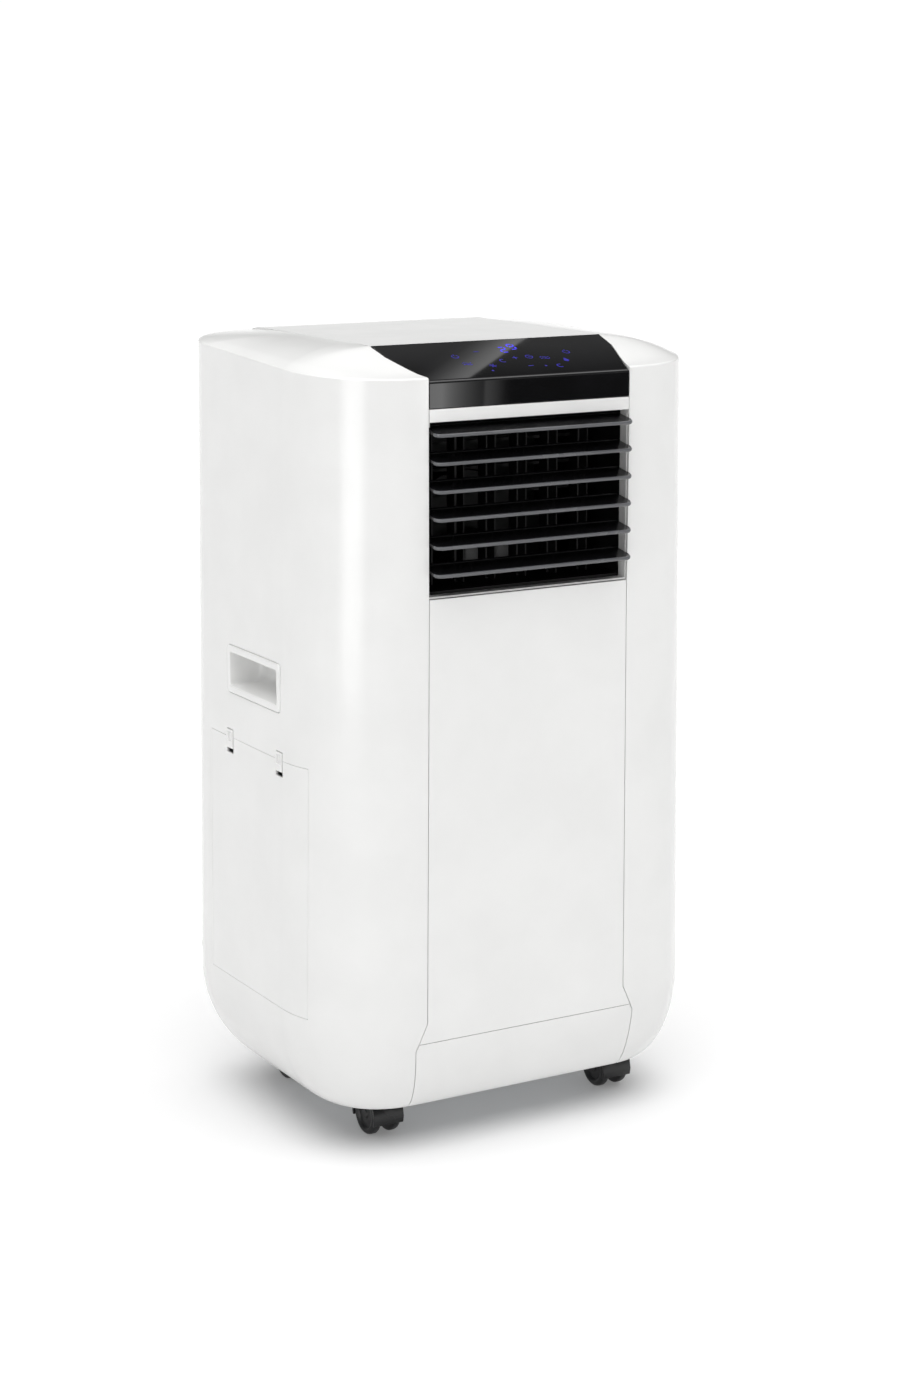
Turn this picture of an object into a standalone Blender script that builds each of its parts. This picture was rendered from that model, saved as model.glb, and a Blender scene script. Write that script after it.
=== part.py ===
"""Portable room air conditioner on four casters.

Metres, +Z up.  The origin is on the floor, under the middle of the body.
-Y is the front, where the air comes out; -X is the side with the service door.
"""
import math

import bmesh
import bpy
from mathutils import Matrix, Vector

# Overall casing
HEIGHT = 0.700
HALF_WIDTH = 0.1935         # at MID_HEIGHT; the sides lean in by FLARE
HALF_DEPTH = 0.155
MID_HEIGHT = 0.400
FLARE = 0.075               # share of the half width gained per metre going down
WALL = 0.0025
FRONT_RADIUS = 0.089
REAR_RADIUS = 0.076
CORNER_POWER = 2.15         # 2 is a round corner, higher is squarer
CORNER_STEPS = 7
WHEEL_RADIUS = 0.0185       # the casing and its floor stand on the casters
FRONT_Y = -HALF_DEPTH
REAR_Y = HALF_DEPTH

# The tuck: the bottom of the casing curves inwards
BOTTOM_Z = 2 * WHEEL_RADIUS + 0.003
TUCK_TOP = 0.118
TUCK_SIDE = 0.033
TUCK_FRONT = 0.021
TUCK_REAR = 0.035
TUCK_ANGLE = 75.0
TUCK_LEVELS = 5
LOW_FRONT_RADIUS = 0.060
LOW_REAR_RADIUS = 0.080

# The top: the outer rim rises to the back, and the middle stands above it
RIM_FRONT = 0.679
RIM_SLOPE = 0.056
RIM_EDGE = 0.987
TOP_RINGS = (0.94, 0.88, 0.81, 0.73, 0.62, 0.50)

# Seams and fits
SEAM = 0.0003               # each piece stands back this far from a seam line
FIT = 0.0005                # clearance round an inset piece
STRIP_HALF_FRONT = 0.0985   # middle strip between the side shells
STRIP_HALF_REAR = 0.114
STRIP_KINK = (0.1125, 0.050)
DISPLAY_DEPTH = 0.073
JOG_TOP = 0.121             # where the front seams step outwards
JOG_BOTTOM = 0.097
JOG_HALF = (0.1010, 0.1120, 0.1085)

# Front: display, outlet, louvers and vanes
FASCIA_BOTTOM = 0.653
FASCIA_TOP = 0.6765
COVER_WALL = 0.003
OUTLET_TOP = 0.642
OUTLET_BOTTOM = 0.495
JAMB_DEPTH = 0.013
LINER_DEPTH = 0.054
LINER_WALL = 0.0025
LOUVER_COUNT = 6
LOUVER_PITCH = 0.0235
LOUVER_TOP = 0.6370
LOUVER_HALF = 0.0970
LOUVER_CHORD = 0.032
LOUVER_PROUD = 0.0125
LOUVER_BEHIND = 0.0022      # how far a blade reaches behind its pivot
LOUVER_TILT = 11.0
PIN_RADIUS = 0.0018
PIN_PLAY = 0.0003
CRANK = 0.012
CRANK_ANGLE = -30.0         # the cranks point back and down
LINK_X = -0.060
VANE_COUNT = 6
VANE_PITCH = 0.0310
VANE_CHORD = 0.028
VANE_THICK = 0.0012
VANE_PIVOT = 0.047
VANE_CRANK = 0.011

# Sides
CUP_Y = (0.0915, 0.1965)
CUP_Z = (0.3885, 0.4315)
CUP_RIM = 0.0065
CUP_PROUD = 0.0012
CUP_DEPTH = 0.032
DOOR_Y = (0.052, 0.231)
DOOR_Z = (0.125, 0.3475)
LATCH_Y = (0.094, 0.192)
LATCH_HALF = 0.006
LATCH_UP = 0.007
LATCH_DOWN = 0.010
LATCH_TRAVEL = 0.004
DRAIN = (-0.168, 0.121)
DRAIN_RADIUS = 0.0048
DRAIN_BORE = 0.0031
CAP_RADIUS = 0.0068
CAP_LENGTH = 0.011

# Rear: the port sits under the deck, and the lower filter under the port
DECK_Z = (0.3780, 0.3805)
REAR_TOP = 0.6683
GRILLE_HALF = 0.095
UPPER_GRILLE = (0.415, 0.635)
PORT_RADIUS = 0.066
PORT_BORE = PORT_RADIUS - 0.006
PORT_FLANGE = PORT_RADIUS + 0.008
PORT_Z = DECK_Z[0] - 0.012 - PORT_RADIUS
LOWER_GRILLE = (0.124, PORT_Z - PORT_FLANGE - 0.004)
PORT_PROUD = 0.0125
GLAND = (0.088, 0.248)
GLAND_RADIUS = 0.0075
GLAND_BORE = 0.004

# Inside
BASE_Z = (BOTTOM_Z + 0.0045, BOTTOM_Z + 0.0075)
BASE_HALF = 0.152
BASE_FRONT = 0.028
BASE_REAR = 0.046
DECK_MARGIN = 0.005
PIPE_RADIUS = 0.0042
PIPE_HOLE = 0.0060
SHAFT_RADIUS = 0.0040
UPPER_FAN_Z = 0.497
LOWER_FAN_Z = 0.151
COMPRESSOR = (0.055, FRONT_Y + 0.092)
COMPRESSOR_RADIUS = 0.050
COMPRESSOR_TOP = 0.262
ACCUMULATOR = (-0.018, FRONT_Y + 0.075)
SUCTION_RISE = (0.125, FRONT_Y + 0.170)
LIQUID_RISE = (0.112, FRONT_Y + 0.226)

# Casters
CASTER_X = (-0.1115, 0.1300)    # the right pair stands further out
CASTER_Y = (0.0825, 0.2435)     # swivel axes, from the front plane
CASTER_TRAIL = 0.010
WHEEL_GAP = 0.0060
WHEEL_OUT = 0.0145
HOOD_RADIUS = WHEEL_RADIUS + 0.0027     # its top stays under the casing, so it can turn
HOOD_WALL = 0.0021
HOOD_HALF = 0.0150
WEB_HALF = 0.0046
AXLE_RADIUS = 0.0028
STEM_RADIUS = 0.0040
STEM_TOP = BASE_Z[0] + 0.0135
SOCKET_RADIUS = 0.0090
SOCKET_TOP = BASE_Z[0] + 0.0175

COLOURS = {
    "white_abs": ((0.90, 0.90, 0.90), 0.25, 0.0),
    "gloss_black": ((0.012, 0.012, 0.014), 0.08, 0.0),
    "black_plastic": ((0.02, 0.02, 0.022), 0.40, 0.0),
    "grey_plastic": ((0.45, 0.46, 0.47), 0.50, 0.0),
    "galvanised_steel": ((0.62, 0.63, 0.64), 0.40, 0.9),
    "aluminium_fins": ((0.75, 0.76, 0.77), 0.35, 1.0),
    "copper": ((0.72, 0.36, 0.22), 0.30, 1.0),
    "black_steel": ((0.03, 0.03, 0.03), 0.35, 0.4),
    "board_green": ((0.03, 0.20, 0.08), 0.50, 0.0),
}


# ---------------------------------------------------------------- modelling helpers
def clear_scene():
    """Remove the objects that Blender starts with."""
    for obj in list(bpy.data.objects):
        bpy.data.objects.remove(obj, do_unlink=True)


def make_collection(name):
    """Return a collection linked to the scene."""
    collection = bpy.data.collections.new(name)
    bpy.context.scene.collection.children.link(collection)
    return collection


def make_materials():
    """One Principled material for each entry in COLOURS."""
    materials = {}
    for name, (colour, roughness, metallic) in COLOURS.items():
        material = bpy.data.materials.new(name)
        material.use_nodes = True
        shader = material.node_tree.nodes["Principled BSDF"]
        shader.inputs["Base Color"].default_value = (*colour, 1.0)
        shader.inputs["Roughness"].default_value = roughness
        shader.inputs["Metallic"].default_value = metallic
        materials[name] = material
    return materials


def add_mesh(name, mesh):
    """Put a mesh in the scene as a new object in the cutters collection."""
    obj = bpy.data.objects.new(name, mesh)
    CUTTERS.objects.link(obj)
    obj.hide_render = True
    obj.display_type = "WIRE"
    return obj


def add_bmesh(name, bm):
    """Turn a bmesh into an object."""
    mesh = bpy.data.meshes.new(name)
    bm.to_mesh(mesh)
    bm.free()
    return add_mesh(name, mesh)


def box(name, low, high):
    """A box between two corners."""
    low, high = Vector(low), Vector(high)
    bm = bmesh.new()
    place = Matrix.Translation((low + high) / 2) @ Matrix.Diagonal((*(high - low), 1.0))
    bmesh.ops.create_cube(bm, size=1.0, matrix=place)
    return add_bmesh(name, bm)


def axis_turn(axis):
    """The rotation that takes +Z to the named axis."""
    turns = {
        "X": Matrix.Rotation(math.pi / 2, 4, "Y"),
        "Y": Matrix.Rotation(-math.pi / 2, 4, "X"),
        "Z": Matrix.Identity(4),
    }
    return turns[axis]


def cylinder(name, centre, radius, length, axis="Z", sides=16):
    """A cylinder about its centre."""
    bm = bmesh.new()
    place = Matrix.Translation(centre) @ axis_turn(axis)
    bmesh.ops.create_cone(bm, cap_ends=True, segments=sides, radius1=radius, radius2=radius,
                          depth=length, matrix=place)
    return add_bmesh(name, bm)


def turned(name, profile, centre, axis="Z", steps=24, closed=False):
    """A turned solid: (radius, height) points run down the outside, then up a bore."""
    mesh = bpy.data.meshes.new(name)
    count = len(profile)
    edges = [(i, i + 1) for i in range(count - 1)]
    if closed:
        edges.append((count - 1, 0))
    mesh.from_pydata([(radius, 0.0, height) for radius, height in profile], edges, [])
    obj = add_mesh(name, mesh)
    screw = obj.modifiers.new("Turn", "SCREW")
    screw.steps = steps
    screw.render_steps = steps
    screw.use_merge_vertices = True
    screw.merge_threshold = 0.00001
    obj = frozen(obj)
    obj.data.transform(Matrix.Translation(centre) @ axis_turn(axis))
    return obj


def outline_solid(name, points, low, high, plane="XY"):
    """A flat outline given a thickness.  Plane XZ is seen from the front, YZ from +X."""
    curve = bpy.data.curves.new(name, "CURVE")
    curve.dimensions = "2D"
    curve.fill_mode = "BOTH"
    curve.extrude = (high - low) / 2
    spline = curve.splines.new("POLY")
    spline.points.add(len(points) - 1)
    for point, (across, up) in zip(spline.points, points):
        point.co = (across, up, 0.0, 1.0)
    spline.use_cyclic_u = True
    obj = bpy.data.objects.new(name, curve)
    CUTTERS.objects.link(obj)
    middle = (low + high) / 2
    turns = {
        "XY": Matrix.Translation((0.0, 0.0, middle)),
        "XZ": Matrix.Translation((0.0, middle, 0.0)) @ Matrix.Rotation(math.pi / 2, 4, "X"),
        "YZ": Matrix.Translation((middle, 0.0, 0.0))
        @ Matrix.Rotation(math.pi / 2, 4, "Z") @ Matrix.Rotation(math.pi / 2, 4, "X"),
    }
    solid = frozen(obj)
    solid.data.transform(turns[plane])
    return solid


def frozen(obj):
    """Replace an object by the mesh that its curve or modifiers make, with its ends welded."""
    name = obj.name
    graph = bpy.context.evaluated_depsgraph_get()
    graph.update()
    mesh = bpy.data.meshes.new_from_object(obj.evaluated_get(graph))
    matrix = obj.matrix_world.copy()
    bpy.data.objects.remove(obj, do_unlink=True)
    bm = bmesh.new()
    bm.from_mesh(mesh)
    bmesh.ops.remove_doubles(bm, verts=bm.verts, dist=0.000001)
    bm.to_mesh(mesh)
    bm.free()
    solid = add_mesh(name, mesh)
    solid.matrix_world = matrix
    return solid


def combine(obj, other, operation):
    """Add a Boolean modifier."""
    modifier = obj.modifiers.new(other.name, "BOOLEAN")
    modifier.operation = operation
    modifier.solver = "EXACT"
    modifier.object = other
    return obj


def cut(obj, *cutters):
    """Take each cutter away from an object."""
    for cutter in cutters:
        combine(obj, cutter, "DIFFERENCE")
    return obj


def joined(obj, *others):
    """Join the others to an object, as one solid."""
    for other in others:
        combine(obj, other, "UNION")
    return obj


def kept(obj, region):
    """Keep the part of an object that is inside a region."""
    return combine(obj, region, "INTERSECT")


def copy_of(obj, name):
    """A copy with its own mesh."""
    return add_mesh(name, obj.data.copy())


def part(obj, name, material, pivot=None):
    """Finish a piece: freeze it, name it, give its material, and set its origin."""
    obj = frozen(obj)
    obj.name = name
    obj.data.name = name
    CUTTERS.objects.unlink(obj)
    PARTS.objects.link(obj)
    obj.hide_render = False
    obj.display_type = "TEXTURED"
    obj.data.materials.clear()
    obj.data.materials.append(MATERIALS[material])
    if pivot is not None:
        obj.data.transform(Matrix.Translation(-Vector(pivot)))
        obj.location = pivot
    obj.data.shade_smooth()
    obj.data.set_sharp_from_angle(angle=math.radians(35.0))
    return obj


# ---------------------------------------------------------------- casing surface
def corner(radius):
    """A quarter of a superellipse, from straight ahead round to the side."""
    points = []
    for step in range(CORNER_STEPS + 1):
        angle = math.pi / 2 * step / CORNER_STEPS
        across = radius * math.sin(angle) ** (2 / CORNER_POWER)
        along = radius * max(0.0, math.cos(angle)) ** (2 / CORNER_POWER)
        points.append((across, along))
    return points


def plan_outline(half_width, front, rear, front_radius, rear_radius):
    """Plan outline, anticlockwise from the right end of the front."""
    right = []
    for across, along in corner(front_radius):
        right.append((half_width - front_radius + across, front + front_radius - along))
    for across, along in reversed(corner(rear_radius)):
        right.append((half_width - rear_radius + across, rear - rear_radius + along))
    left = [(-x, y) for x, y in reversed(right)]
    return right + left


def tuck_at(z):
    """How far the bottom curve has tucked in at a height: 0 above it, 1 at the bottom edge."""
    drop = min(max((TUCK_TOP - z) / (TUCK_TOP - BOTTOM_Z), 0.0), 1.0)
    end = math.radians(TUCK_ANGLE)
    angle = math.asin(drop * math.sin(end))
    return (1 - math.cos(angle)) / (1 - math.cos(end))


def half_width_at(z):
    """Half width of the casing at a height."""
    return (HALF_WIDTH - TUCK_SIDE * tuck_at(z)) * (1 + FLARE * (MID_HEIGHT - z))


def casing_section(z, margin=0.0):
    """Plan outline of the casing's outside at a height, moved in by a margin."""
    tuck = tuck_at(z)
    return plan_outline(
        half_width_at(z) - margin,
        FRONT_Y + TUCK_FRONT * tuck + margin,
        REAR_Y - TUCK_REAR * tuck - margin,
        FRONT_RADIUS + (LOW_FRONT_RADIUS - FRONT_RADIUS) * tuck - margin,
        REAR_RADIUS + (LOW_REAR_RADIUS - REAR_RADIUS) * tuck - margin)


def rim_height(y):
    """Height of the top's outer edge, which rises towards the back."""
    return RIM_FRONT + RIM_SLOPE * (y - FRONT_Y)


def top_height(y, scale):
    """Height of the top, at a point of the outline shrunk by a scale."""
    ahead = min(max((y - FRONT_Y) / DISPLAY_DEPTH, 0.0), 1.0)
    middle = STRIP_HALF_REAR / HALF_WIDTH
    inward = min(max((1 - scale) / (1 - middle), 0.0), 1.0)
    rise = ahead * (1 - (1 - inward) ** 2)
    return rim_height(y) + (HEIGHT - rim_height(y)) * rise


def casing_rings():
    """Rings of points up the wall and in over the top."""
    rings = []
    end = math.radians(TUCK_ANGLE)
    for level in range(TUCK_LEVELS, -1, -1):
        angle = end * level / TUCK_LEVELS
        z = TUCK_TOP - (TUCK_TOP - BOTTOM_Z) * math.sin(angle) / math.sin(end)
        rings.append([(x, y, z) for x, y in casing_section(z)])
    outline = casing_section(RIM_FRONT)
    edge = HALF_DEPTH * (1 - RIM_EDGE)
    rings.append([(x, y, rim_height(y) - edge) for x, y in outline])
    rings.append([(x * RIM_EDGE, y * RIM_EDGE, rim_height(y)) for x, y in outline])
    for scale in TOP_RINGS:
        rings.append([(x * scale, y * scale, top_height(y * scale, scale)) for x, y in outline])
    return rings


def make_casing():
    """The whole casing as one hollow skin, open below; the outer pieces are cut from it."""
    bm = bmesh.new()
    loops = [[bm.verts.new(point) for point in ring] for ring in casing_rings()]
    count = len(loops[0])
    for lower, upper in zip(loops, loops[1:]):
        for i in range(count):
            j = (i + 1) % count
            bm.faces.new((lower[i], lower[j], upper[j], upper[i]))
    bm.faces.new(loops[-1])
    casing = add_bmesh("casing", bm)
    skin = casing.modifiers.new("Skin", "SOLIDIFY")
    skin.thickness = WALL
    skin.offset = -1.0
    skin.use_even_offset = True
    return frozen(casing)


# ---------------------------------------------------------------- casing pieces
def strip_outline(gap):
    """Plan of the middle strip: display, top cover and rear panel lie inside it."""
    kink_x, kink_y = STRIP_KINK
    reach = 0.05
    right = [
        (STRIP_HALF_FRONT + gap, FRONT_Y - reach),
        (STRIP_HALF_FRONT + gap, FRONT_Y + 0.004),
        (kink_x + gap, FRONT_Y + kink_y),
        (STRIP_HALF_REAR + gap, FRONT_Y + DISPLAY_DEPTH),
        (STRIP_HALF_REAR + gap, REAR_Y + reach),
    ]
    return right + [(-x, y) for x, y in reversed(right)]


def panel_outline(gap, top):
    """The front panel from the front, with the step in its seams near the bottom."""
    right = [
        (STRIP_HALF_FRONT + gap, top),
        (JOG_HALF[0] + gap, JOG_TOP),
        (JOG_HALF[1] + gap, JOG_BOTTOM),
        (JOG_HALF[2] + gap, BOTTOM_Z - 0.01),
    ]
    return right + [(-x, z) for x, z in reversed(right)]


def door_solid(name, gap):
    """The block of space that the service door fills."""
    low = (-0.3, FRONT_Y + DOOR_Y[0] - gap, DOOR_Z[0] - gap)
    high = (-0.12, FRONT_Y + DOOR_Y[1] + gap, DOOR_Z[1] + gap)
    return box(name, low, high)


def latch_solid(name, y, gap, travel):
    """The block of space round one door latch."""
    wall = half_width_at(DOOR_Z[1])
    low = (-wall - 0.02, FRONT_Y + y - LATCH_HALF - gap, DOOR_Z[1] - LATCH_DOWN - gap - travel)
    high = (-wall + 0.02, FRONT_Y + y + LATCH_HALF + gap, DOOR_Z[1] + LATCH_UP + gap)
    return box(name, low, high)


def cup_window(name, side, gap):
    """The block of space in one side shell that a handle cup's rim fills."""
    x = sorted((side * 0.15, side * 0.25))
    low = (x[0], FRONT_Y + CUP_Y[0] - gap, CUP_Z[0] - gap)
    high = (x[1], FRONT_Y + CUP_Y[1] + gap, CUP_Z[1] + gap)
    return box(name, low, high)


def make_side_shell(casing, side, name):
    """One side of the casing, with its corner columns and its share of the top."""
    shell = copy_of(casing, name)
    outer = outline_solid(name + "_strip", strip_outline(SEAM), 0.0, 0.8)
    jog = outline_solid(name + "_jog", panel_outline(SEAM, OUTLET_BOTTOM),
                        FRONT_Y - 0.05, FRONT_Y + 0.06, "XZ")
    x = sorted((-side * 0.3, 0.0))
    other_side = box(name + "_other", (x[0], -0.4, -0.1), (x[1], 0.4, 0.9))
    cut(shell, outer, jog, other_side, cup_window(name + "_cup", side, FIT))
    if side < 0:
        cut(shell, door_solid("door_hole", FIT))
        for number, y in enumerate(LATCH_Y):
            cut(shell, latch_solid("shell_notch_%d" % number, y, FIT, 0.0))
        drain_hole = cylinder("drain_hole", (DRAIN[0], FRONT_Y + 0.29, DRAIN[1]),
                              DRAIN_RADIUS + FIT, 0.06, "Y", 12)
        cut(shell, drain_hole)
    part(shell, name, "white_abs")


def make_front_panel(casing):
    """The flat lower front, tucked in at the bottom."""
    panel = copy_of(casing, "front_panel")
    top = OUTLET_BOTTOM - 0.0015
    kept(panel, outline_solid("panel_region", panel_outline(-SEAM, top - SEAM),
                              FRONT_Y - 0.05, FRONT_Y + 0.05, "XZ"))
    part(panel, "front_panel", "white_abs")


def make_rear_panel(casing):
    """The rear wall, with windows for the two filters, the hose port and the cord gland."""
    panel = copy_of(casing, "rear_panel")
    half = STRIP_HALF_REAR - SEAM
    kept(panel, box("rear_region", (-half, 0.05, 0.0), (half, 0.3, REAR_TOP)))
    for name, (low, high) in (("upper", UPPER_GRILLE), ("lower", LOWER_GRILLE)):
        cut(panel, box(name + "_window", (-GRILLE_HALF, 0.0, low), (GRILLE_HALF, 0.3, high)))
    cut(panel, cylinder("port_hole", (0.0, REAR_Y, PORT_Z), PORT_RADIUS + 2 * FIT, 0.05, "Y", 24))
    cut(panel, cylinder("gland_hole", (GLAND[0], REAR_Y, GLAND[1]),
                        GLAND_RADIUS + SEAM, 0.05, "Y", 12))
    part(panel, "rear_panel", "white_abs")


def make_display():
    """Gloss black cover: an upright fascia that turns back into the sloping display."""
    back = FRONT_Y + DISPLAY_DEPTH - SEAM
    bend = FRONT_Y + 0.0035
    slope = (HEIGHT - FASCIA_TOP) / (back - bend)
    inner_bend = bend + 0.001
    outline = [
        (FRONT_Y, FASCIA_BOTTOM + SEAM),
        (FRONT_Y + 0.0003, FASCIA_TOP - 0.0035),
        (FRONT_Y + 0.0012, FASCIA_TOP - 0.0012),
        (bend, FASCIA_TOP),
        (back, HEIGHT),
        (back, HEIGHT - COVER_WALL),
        (inner_bend, HEIGHT - COVER_WALL - slope * (back - inner_bend)),
        (FRONT_Y + COVER_WALL, FASCIA_TOP - 0.005),
        (FRONT_Y + COVER_WALL, FASCIA_BOTTOM + SEAM),
    ]
    outline.reverse()
    cover = outline_solid("display_cover", outline, -0.15, 0.15, "YZ")
    kept(cover, outline_solid("display_region", strip_outline(-SEAM), 0.5, 0.8))
    part(cover, "display_cover", "gloss_black")


def make_top_cover():
    """White middle strip of the top, which turns down at the back."""
    half = STRIP_HALF_REAR - SEAM
    front = FRONT_Y + DISPLAY_DEPTH + SEAM
    rim = rim_height(REAR_Y)
    foot = REAR_TOP + 2 * SEAM
    outline = [
        (front, HEIGHT),
        (REAR_Y - 0.030, HEIGHT),
        (REAR_Y - 0.012, HEIGHT - 0.0012),
        (REAR_Y - 0.002, rim),
        (REAR_Y, rim - 0.002),
        (REAR_Y, foot),
        (REAR_Y - COVER_WALL, foot),
        (REAR_Y - COVER_WALL, rim - COVER_WALL - 0.001),
        (REAR_Y - 0.0125, HEIGHT - 0.0012 - COVER_WALL),
        (REAR_Y - 0.030, HEIGHT - COVER_WALL),
        (front, HEIGHT - COVER_WALL),
    ]
    part(outline_solid("top_cover", outline, -half, half, "YZ"), "top_cover", "white_abs")


def make_bezel():
    """White strip over the outlet, with the jambs that run back from the opening."""
    back = FRONT_Y + JAMB_DEPTH
    front = FRONT_Y + WALL + SEAM
    outer = STRIP_HALF_FRONT + 0.0022
    inner = STRIP_HALF_FRONT - 0.0004
    bezel = box("bezel", (-outer, front, OUTLET_BOTTOM - 0.0015), (outer, back, FASCIA_BOTTOM - SEAM))
    strip_half = STRIP_HALF_FRONT - SEAM
    joined(bezel, box("strip", (-strip_half, FRONT_Y, OUTLET_TOP - 0.004),
                      (strip_half, front + 0.002, FASCIA_BOTTOM - SEAM)))
    cut(bezel, box("bezel_opening", (-inner, FRONT_Y - 0.01, OUTLET_BOTTOM),
                   (inner, back + 0.01, OUTLET_TOP)))
    part(bezel, "outlet_bezel", "white_abs")


# ---------------------------------------------------------------- outlet
def louver_heights():
    """Pivot heights of the louvers, from the top one down."""
    return [LOUVER_TOP - LOUVER_PITCH * i for i in range(LOUVER_COUNT)]


def louver_pivot_y():
    """The pivots lie near the louvers' rear edges."""
    tilt = math.radians(LOUVER_TILT)
    return FRONT_Y - LOUVER_PROUD + (LOUVER_CHORD - 0.003) * math.cos(tilt)


def vane_places():
    """Pivots of the vanes across the outlet."""
    start = -VANE_PITCH * (VANE_COUNT - 1) / 2
    return [start + VANE_PITCH * i for i in range(VANE_COUNT)]


def arm_outline(start, end, start_half, end_half):
    """Outline of a short arm that widens from one end to the other, with a blunt tip."""
    start, end = Vector(start), Vector(end)
    along = (end - start).normalized()
    across = Vector((-along.y, along.x))
    points = [start - across * start_half, end - across * end_half, end + along * end_half,
              end + across * end_half, start + across * start_half]
    return [tuple(point) for point in points]


def make_louvers():
    """Wide blades that send the air up or down; a lug on each takes the link bar."""
    pivot_y = louver_pivot_y()
    ahead = LOUVER_CHORD - 0.003
    blade_line = [(-ahead, -0.0010), (-ahead, 0.0010), (-ahead + 0.006, 0.0013),
                  (LOUVER_BEHIND, 0.0008), (LOUVER_BEHIND, -0.0008), (-ahead + 0.006, -0.0013)]
    tilt = math.radians(LOUVER_TILT)
    crank_y = pivot_y + CRANK * math.cos(math.radians(CRANK_ANGLE))
    crank_rise = CRANK * math.sin(math.radians(CRANK_ANGLE))
    for number, height in enumerate(louver_heights(), start=1):
        points = []
        for along, up in blade_line:
            points.append((pivot_y + along * math.cos(tilt) - up * math.sin(tilt),
                           height + along * math.sin(tilt) + up * math.cos(tilt)))
        points.reverse()
        blade = outline_solid("blade", points, -LOUVER_HALF, LOUVER_HALF, "YZ")
        reach = STRIP_HALF_FRONT - 0.0004 + LINER_WALL
        joined(blade, cylinder("pin", (0.0, pivot_y, height), PIN_RADIUS, 2 * reach, "X", 6))
        lug_x = LINK_X - 0.0025
        lug_line = arm_outline((pivot_y, height), (crank_y, height + crank_rise), 0.0009, 0.0020)
        joined(blade, outline_solid("lug", lug_line, lug_x - 0.0008, lug_x + 0.0008, "YZ"))
        joined(blade, cylinder("crank_pin", (LINK_X, crank_y, height + crank_rise),
                               0.0011, 0.0056, "X", 6))
        part(blade, "louver_%d" % number, "black_plastic", (0.0, pivot_y, height))
    first = louver_heights()[0] + crank_rise
    last = louver_heights()[-1] + crank_rise
    bar = box("louver_link", (LINK_X - 0.0010, crank_y - 0.0026, last - 0.002),
              (LINK_X + 0.0010, crank_y + 0.0026, first + 0.002))
    for height in louver_heights():
        cut(bar, cylinder("link_hole", (LINK_X, crank_y, height + crank_rise),
                          0.0011 + PIN_PLAY, 0.01, "X", 6))
    part(bar, "louver_link", "black_plastic", (LINK_X, crank_y, first))


def make_vanes():
    """Upright blades behind the louvers that send the air left or right."""
    pivot_y = FRONT_Y + VANE_PIVOT
    low = OUTLET_BOTTOM + LINER_WALL + 0.0015
    high = OUTLET_TOP - LINER_WALL - 0.0015
    notch = low + 0.010
    crank_y = pivot_y + VANE_CRANK
    front = pivot_y - VANE_CHORD / 2
    back = pivot_y + VANE_CHORD / 2
    side_line = [(front, low), (pivot_y + 0.003, low), (pivot_y + 0.003, notch), (back, notch),
                 (back, high), (front, high)]
    reach = 0.0015 + LINER_WALL
    for number, x in enumerate(vane_places(), start=1):
        blade = outline_solid("vane", side_line, x - VANE_THICK / 2, x + VANE_THICK / 2, "YZ")
        joined(blade, cylinder("vane_pin", (x, pivot_y, (low + high) / 2), PIN_RADIUS,
                               high - low + 2 * reach, "Z", 6))
        joined(blade, cylinder("vane_crank", (x, crank_y, notch - 0.0025), 0.0012, 0.0070, "Z", 6))
        part(blade, "vane_%d" % number, "black_plastic", (x, pivot_y, low))
    places = vane_places()
    bar = box("vane_link", (places[0] - 0.004, crank_y - 0.0026, notch - 0.0055),
              (places[-1] + 0.004, crank_y + 0.0026, notch - 0.0035))
    for x in places:
        cut(bar, cylinder("vane_link_hole", (x, crank_y, notch - 0.0045),
                          0.0012 + PIN_PLAY, 0.01, "Z", 6))
    part(bar, "vane_link", "black_plastic", (places[0], crank_y, notch - 0.0045))


def make_liner():
    """Black frame behind the jambs that carries the louver and vane pins."""
    front = FRONT_Y + JAMB_DEPTH + SEAM
    back = front + LINER_DEPTH
    inner = STRIP_HALF_FRONT - 0.0004
    outer = inner + LINER_WALL
    liner = box("liner", (-outer, front, OUTLET_BOTTOM), (outer, back, OUTLET_TOP))
    cut(liner, box("liner_bore", (-inner, front - 0.01, OUTLET_BOTTOM + LINER_WALL),
                   (inner, back + 0.01, OUTLET_TOP - LINER_WALL)))
    for height in louver_heights():
        cut(liner, cylinder("louver_hole", (0.0, louver_pivot_y(), height),
                            PIN_RADIUS + PIN_PLAY, 0.3, "X", 6))
    for x in vane_places():
        cut(liner, cylinder("vane_hole", (x, FRONT_Y + VANE_PIVOT, OUTLET_TOP - 0.05),
                            PIN_RADIUS + PIN_PLAY, 0.3, "Z", 6))
    part(liner, "outlet_liner", "black_plastic")


def grille(name, low, high, y, thick, rows, columns, bar, frame):
    """A flat grille across the Y direction: a sheet with slots, given its thickness."""
    bm = bmesh.new()

    def lines(start, end, cells):
        size = (end - start - 2 * frame - (cells - 1) * bar) / cells
        marks = [start]
        for cell in range(cells):
            marks.append(start + frame + cell * (size + bar))
            marks.append(start + frame + cell * (size + bar) + size)
        return marks + [end]

    across = lines(low[0], high[0], columns)
    upwards = lines(low[1], high[1], rows)
    verts = [[bm.verts.new((x, y, z)) for x in across] for z in upwards]
    for row in range(len(upwards) - 1):
        for column in range(len(across) - 1):
            if row % 2 == 1 and column % 2 == 1:
                continue
            bm.faces.new((verts[row][column], verts[row][column + 1],
                          verts[row + 1][column + 1], verts[row + 1][column]))
    obj = add_bmesh(name, bm)
    sheet = obj.modifiers.new("Sheet", "SOLIDIFY")
    sheet.thickness = thick
    sheet.offset = -1.0
    return frozen(obj)


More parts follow.
